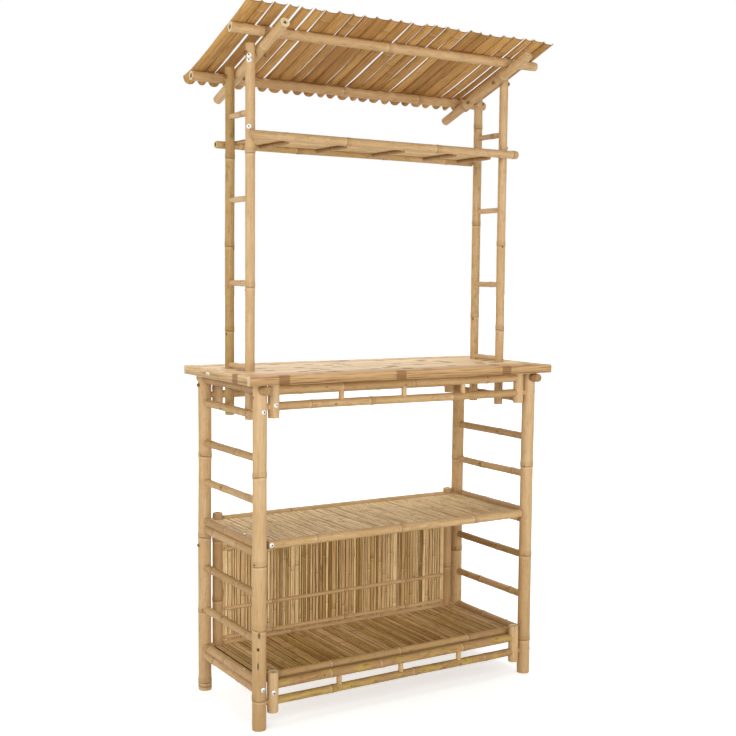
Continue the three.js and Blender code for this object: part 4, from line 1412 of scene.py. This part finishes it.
class HUT_OT_roof(Operator):
    """Rafters, purlins and 26 split culms laid down the slope"""

    bl_idname = "hut.roof"
    bl_label = "Roof"

    def execute(self, context):
        sizes = context.scene.bamboo_hut.slat
        for side_name, side in SIDES:
            line = [on_rafter(side * RAFTER_X, along) for along in (HIGH_END, LOW_END)]
            single_culm(
                f"rafter_{side_name}", line, POLE, (0.287, 0.736), 0.25, opens=(side < 0, False),
                tone=0.3, seed=1001 + side, kink=0.0005, bore_share=0.3,
            )
        for name, xs in (("high", (-0.43, -0.026, 0.428)), ("low", (-0.36, -0.022, 0.262, 0.49))):
            start, end = middle_line(f"purlin_{name}", 0)
            single_culm(
                f"purlin_{name}", (start, end), POLE,
                [(x - start.x) / (end.x - start.x) for x in xs], 0.5, opens=(True, True), tone=0.62,
                seed=1011 + len(name), kink=0.0003, tilt=5,
            )
        edges = slat_edges(-ROOF_HALF, ROOF_HALF, 2 * ROOF_HALF / ROOF_SLATS, 0.1)
        gaps = ((0, 0, 0), *ROOF_GAPS, (0, 0, 0))
        rng = random.Random(26)
        shape = Shaping(0.5)
        for index, (left, right) in enumerate(pairwise(edges)):
            own_tone = 0.5 + rng.uniform(0.0, 0.33) * min(1.0, 0.4 + index / 15)
            # The rounded low ends leave each other a little more room
            insets = [
                [(value + more) * sizes.roof_gap / 2 for value, more in zip(sides, (0, 0, 0.35))]
                for sides in gaps[index:index + 2]
            ]
            nodes = [rng.uniform(0.04, 0.24), rng.uniform(0.28, 0.44)]
            # The slats are painted darker towards their low ends: painted shade along the low
            # purlin
            add_slat(
                shape, on_rafter((left + right) / 2, ROOF_START, SLATS_ABOVE), DOWN_SLOPE, X,
                ROOF_SLAT_LENGTH, right - left - 0.3 * MM, ROOF_SLAT, arch=-sizes.roof_sag,
                node_places=nodes[:rng.choice((0, 1, 1, 2))], tone=(own_tone, own_tone + 0.075),
                seed=1100 + index, columns=12, bark_up=False, waver=1.2 * MM,
                start_cut=rng.choice((0, 1, 2.5, 4, 6)) * MM, end_cut=rng.uniform(0, 3) * MM,
                dirt=0.25, insets=insets, node_lift=0.2 * MM, thinning=0.45, deepening=(0.5, 2.6),
                end_lean=math.tan(ROOF_PITCH), droop=1.4 * MM,
            )
        looks = (material("roof"), material("roof_end"))
        shape.piece("roof_split_culms", ["roof_slats"], "split_bamboo", looks)
        shape = Shaping()
        for share, lift in HOLD_DOWN:
            along = HIGH_END + share * (LOW_END - HIGH_END) + 0.045
            add_slat(
                shape, on_rafter(-HOLD_DOWN_HALF, along, SLATS_ABOVE + lift), X, DOWN_SLOPE,
                2 * HOLD_DOWN_HALF, 0.022, 0.0045, arch=0.3 * MM, node_places=(0.16, 0.47, 0.79),
                tone=0.6, seed=1200 + int(share * 100), columns=4,
            )
        shape.piece("roof_hold_down_strips", ["roof_slats"], "split_bamboo", looks)
        return {"FINISHED"}


# Turned profiles: radius and distance out
WASHER = (
    (0.0046, 0), (0.0066, 0), (0.0069, 0.0003), (0.0069, 0.0010), (0.0064, 0.0014),
    (0.0036, 0.0015),
)
BOLT_HEAD = (0.0040, 0.0013), (0.0042, 0.0016), (0.0042, 0.0040), (0.0037, 0.0049), (0.0028, 0.0052)
# The socket is a dark hex, painted shade for its hollow
SOCKET_SHADE_HEX = (0.0027, 0.0044), (0.0026, 0.0054)
SCREW_HEAD = (0.0040, 0), (0.0042, 0.0004), (0.0036, 0.0014), (0.0022, 0.0020), (0.0010, 0.0021)
NUT = (0.0050, 0), (0.0057, 0.0006), (0.0057, 0.0044), (0.0050, 0.0050), (0.0031, 0.0050)
# How yellow the zinc of the rafters' and back legs' bolts has gone
YELLOWED = 0.9
# The bolts that face the front, by x, distance before the legs' middle and height
FRONT_BOLTS = (
    (-0.4735, 0.0200, 0.899), (-0.4325, 0.0150, 0.916), (-0.4440, 0.0129, 0.5245),
    (-0.4735, 0.0200, 0.1190), (-0.4375, 0.0147, 0.1025),
)
# Where the outer sides are: of legs from the middle of the hut, of posts from their own middle
LEG_SIDE, POST_SIDE = 0.495, 0.0139
# The way that the bolts of the left front post face
POST_LEAN = Vector((-0.62, -0.78, 0)).normalized()
# The screws in the counter's ends, and the pins of the outer shelf slats with their distance behind
# the front legs
SCREW_X, SCREW_YS, SCREW_Z = 0.5275, (0.0405, 0.0525), 0.9885
PIN_X, PIN_BEHIND, PIN_ZS = 0.4775, 0.091, (0.5387, 0.1477)
# How far the head, the nut and the rod of a rafter's bolt start inside the box of its node
HEAD_INSIDE, NUT_INSIDE, ROD_INSIDE = 0.0066, 0.005, 0.004


def add_bolt(shape, place, direction, tone=0.0):
    """A washer and a round socket head on it, with a dark hex in its face as painted shade for the
    socket.
    """
    add_turned(shape, place, direction, WASHER, 28, tone=tone)
    add_turned(shape, place, direction, BOLT_HEAD, 24, tone=tone)
    add_turned(shape, place, direction, SOCKET_SHADE_HEX, 6, dark=1.0)


def zinc_piece(name, nodes, shape):
    shape.piece(name, nodes, "zinc_bolt", (material("zinc"), material("zinc")))


class HUT_OT_fasteners(Operator):
    """Bolts with washers on legs, short posts and posts, and screws in the counter's edge"""

    bl_idname = "hut.fasteners"
    bl_label = "Bolts and screws"

    def execute(self, context):
        leg_y = middle_line("leg_front_left", 2)[0].y
        back_y = middle_line("leg_back_left", 2)[0].y
        shape = Shaping()
        for x, out, z in FRONT_BOLTS:
            add_bolt(shape, Vector((x, leg_y - out, z)), -Y)
        for z in (0.911, 0.075):
            add_bolt(shape, Vector((LEG_SIDE, leg_y, z)), X)
        for side in (-1, 1):
            for z in (0.941, 0.4515):
                add_bolt(shape, Vector((side * LEG_SIDE, back_y, z)), X * side, YELLOWED)
        zinc_piece("frame_bolts", (), shape)
        shape = Shaping()
        left, right = (middle_line(f"post_front_{side_name}", 2)[0] for side_name, _ in SIDES)
        for post, direction, heights in (
            (left, POST_LEAN, (1.686, 1.8680, 1.8812)), (right, X, (1.686,)),
        ):
            for z in heights:
                add_bolt(shape, Vector((post.x, post.y, z)) + direction * POST_SIDE, direction)
        zinc_piece("post_bolts", (), shape)
        for side_name, side in SIDES:
            for end_name in ("front", "back"):
                node = f"rafter_bolt_{end_name}_{side_name}"
                low, high = corners(node)
                centre = (low + high) / 2
                inside, outside = (low.x, high.x) if side > 0 else (high.x, low.x)
                shape = Shaping()
                face = outside - side * HEAD_INSIDE
                add_bolt(shape, Vector((face, centre.y, centre.z)), X * side, YELLOWED)
                rod = (0.0030, 0), (0.0030, abs(face - inside) - ROD_INSIDE)
                for reach, way, profile, sides in (
                    (NUT_INSIDE, -side, NUT, 6), (ROD_INSIDE, side, rod, 16),
                ):
                    place = Vector((inside + side * reach, centre.y, centre.z))
                    add_turned(shape, place, X * way, profile, sides, tone=YELLOWED)
                zinc_piece(f"{node}_zinc", [node], shape)
        shape = Shaping()
        for side in (-1, 1):
            for y in SCREW_YS:
                add_turned(shape, Vector((side * SCREW_X, y, SCREW_Z)), X * side, SCREW_HEAD)
            for z in PIN_ZS:
                add_turned(shape, Vector((side * PIN_X, leg_y + PIN_BEHIND, z)), Z, SCREW_HEAD)
        zinc_piece("small_screws", (), shape)
        return {"FINISHED"}


# ---- studio ----

# How far the floor reaches on each side
FLOOR_REACH = 60
# The camera, solved from straight members of the photograph
CAMERA_PLACE = Vector((-1.8957, -3.0371, 1.2754))
CAMERA_TURN, CAMERA_TILT, CAMERA_ROLL = (math.radians(a) for a in (31.80, -4.564, 0.556))
# Each lamp by its place, the height over the middle of the floor that it aims at, and its size
LAMPS = {
    "key": ((-4.4, -4.0, 3.0), 1.0, (3.6, 2.4)), "fill": ((3.8, -3.2, 2.2), 1.0, (3.0, 3.0)),
    "left": ((-4.6, 0.4, 1.9), 1.1, (2.4, 2.4)), "low": ((0.4, -4.4, 0.7), 1.2, (3.0, 1.2)),
    "top": ((0.3, 0.6, 4.6), 0.8, (3.0, 3.0)), "back": ((1.6, 4.2, 2.3), 0.9, (3.0, 2.0)),
}


class HUT_OT_studio(Operator):
    """Pale floor, soft lamps, even white surroundings and the camera"""

    bl_idname = "hut.studio"
    bl_label = "Studio"

    def execute(self, context):
        scene = context.scene
        studio = scene.bamboo_hut.studio
        mesh = bpy.data.meshes.new("studio_floor")
        ways = (-1, -1), (1, -1), (1, 1), (-1, 1)
        outline = [(x * FLOOR_REACH, y * FLOOR_REACH, 0) for x, y in ways]
        mesh.from_pydata(outline, [], [(0, 1, 2, 3)])
        mesh.materials.append(material("floor"))
        floor = placed("studio_floor", mesh)
        floor.location.z = -0.5 * MM
        for name, (place, aim, size) in LAMPS.items():
            data = bpy.data.lights.new(f"{name}_lamp", "AREA")
            data.shape = "RECTANGLE"
            data.size, data.size_y = size
            data.energy = getattr(studio, name)
            lamp = placed(f"{name}_lamp", data)
            lamp.location = place
            lamp.rotation_euler = (Z * aim - lamp.location).to_track_quat("-Z", "Y").to_euler()
        world = bpy.data.worlds.new("white_surroundings")
        world.use_nodes = True
        tree = world.node_tree
        tree.nodes.clear()
        even, white = (
            add_node(
                tree, "ShaderNodeBackground", None, {"Color": (1, 1, 1, 1), "Strength": strength}
            ) for strength in (studio.sky, 1.0)
        )
        seen = seen_directly(tree)
        both = add_node(
            tree, "ShaderNodeMixShader", None, {0: seen, 1: even.outputs[0], 2: white.outputs[0]}
        )
        add_node(tree, "ShaderNodeOutputWorld", None, {"Surface": both.outputs[0]})
        scene.world = world
        data = bpy.data.cameras.new("photo_camera")
        data.sensor_width = 36
        data.lens = studio.lens
        camera = placed("photo_camera", data)
        forward = Vector((
            math.sin(CAMERA_TURN) * math.cos(CAMERA_TILT),
            math.cos(CAMERA_TURN) * math.cos(CAMERA_TILT),
            math.sin(CAMERA_TILT),
        ))
        level = Vector((math.cos(CAMERA_TURN), -math.sin(CAMERA_TURN), 0))
        upright = level.cross(forward)
        right = level * math.cos(CAMERA_ROLL) + upright * math.sin(CAMERA_ROLL)
        up = upright * math.cos(CAMERA_ROLL) - level * math.sin(CAMERA_ROLL)
        turn = Matrix((right, up, -forward)).transposed().to_4x4()
        camera.matrix_world = Matrix.Translation(CAMERA_PLACE) @ turn
        scene.camera = camera
        scene.view_settings.view_transform = "Standard"
        return {"FINISHED"}


STEPS = (
    HUT_OT_legs, HUT_OT_side_frames, HUT_OT_counter, HUT_OT_aprons, HUT_OT_shelves,
    HUT_OT_back_panel, HUT_OT_posts, HUT_OT_upper_shelf, HUT_OT_roof, HUT_OT_fasteners,
    HUT_OT_studio,
)


class HUT_PT_sidebar(Panel):
    """Lists the steps that dress the hut"""

    bl_label = "Bamboo Hut"
    bl_idname = "HUT_PT_sidebar"
    bl_space_type = "VIEW_3D"
    bl_region_type = "UI"
    bl_category = "Bamboo Hut"

    def draw(self, context):
        for step in STEPS:
            self.layout.operator(step.bl_idname)
        for group_name in ("culm", "slat", "finish", "studio"):
            group = getattr(context.scene.bamboo_hut, group_name)
            box = self.layout.box()
            for name in group.__annotations__:
                box.prop(group, name)


CLASSES = (CulmSizes, SlatSizes, Finishes, Studio, HutSettings, *STEPS, HUT_PT_sidebar)


def register():
    for one in CLASSES:
        bpy.utils.register_class(one)
    bpy.types.Scene.bamboo_hut = PointerProperty(type=HutSettings)


def unregister():
    del bpy.types.Scene.bamboo_hut
    for one in reversed(CLASSES):
        bpy.utils.unregister_class(one)


def main():
    register()
    for step in STEPS:
        group_name, step_name = step.bl_idname.split(".")
        getattr(getattr(bpy.ops, group_name), step_name)()
    bpy.context.view_layer.update()


if __name__ == "__main__":
    main()
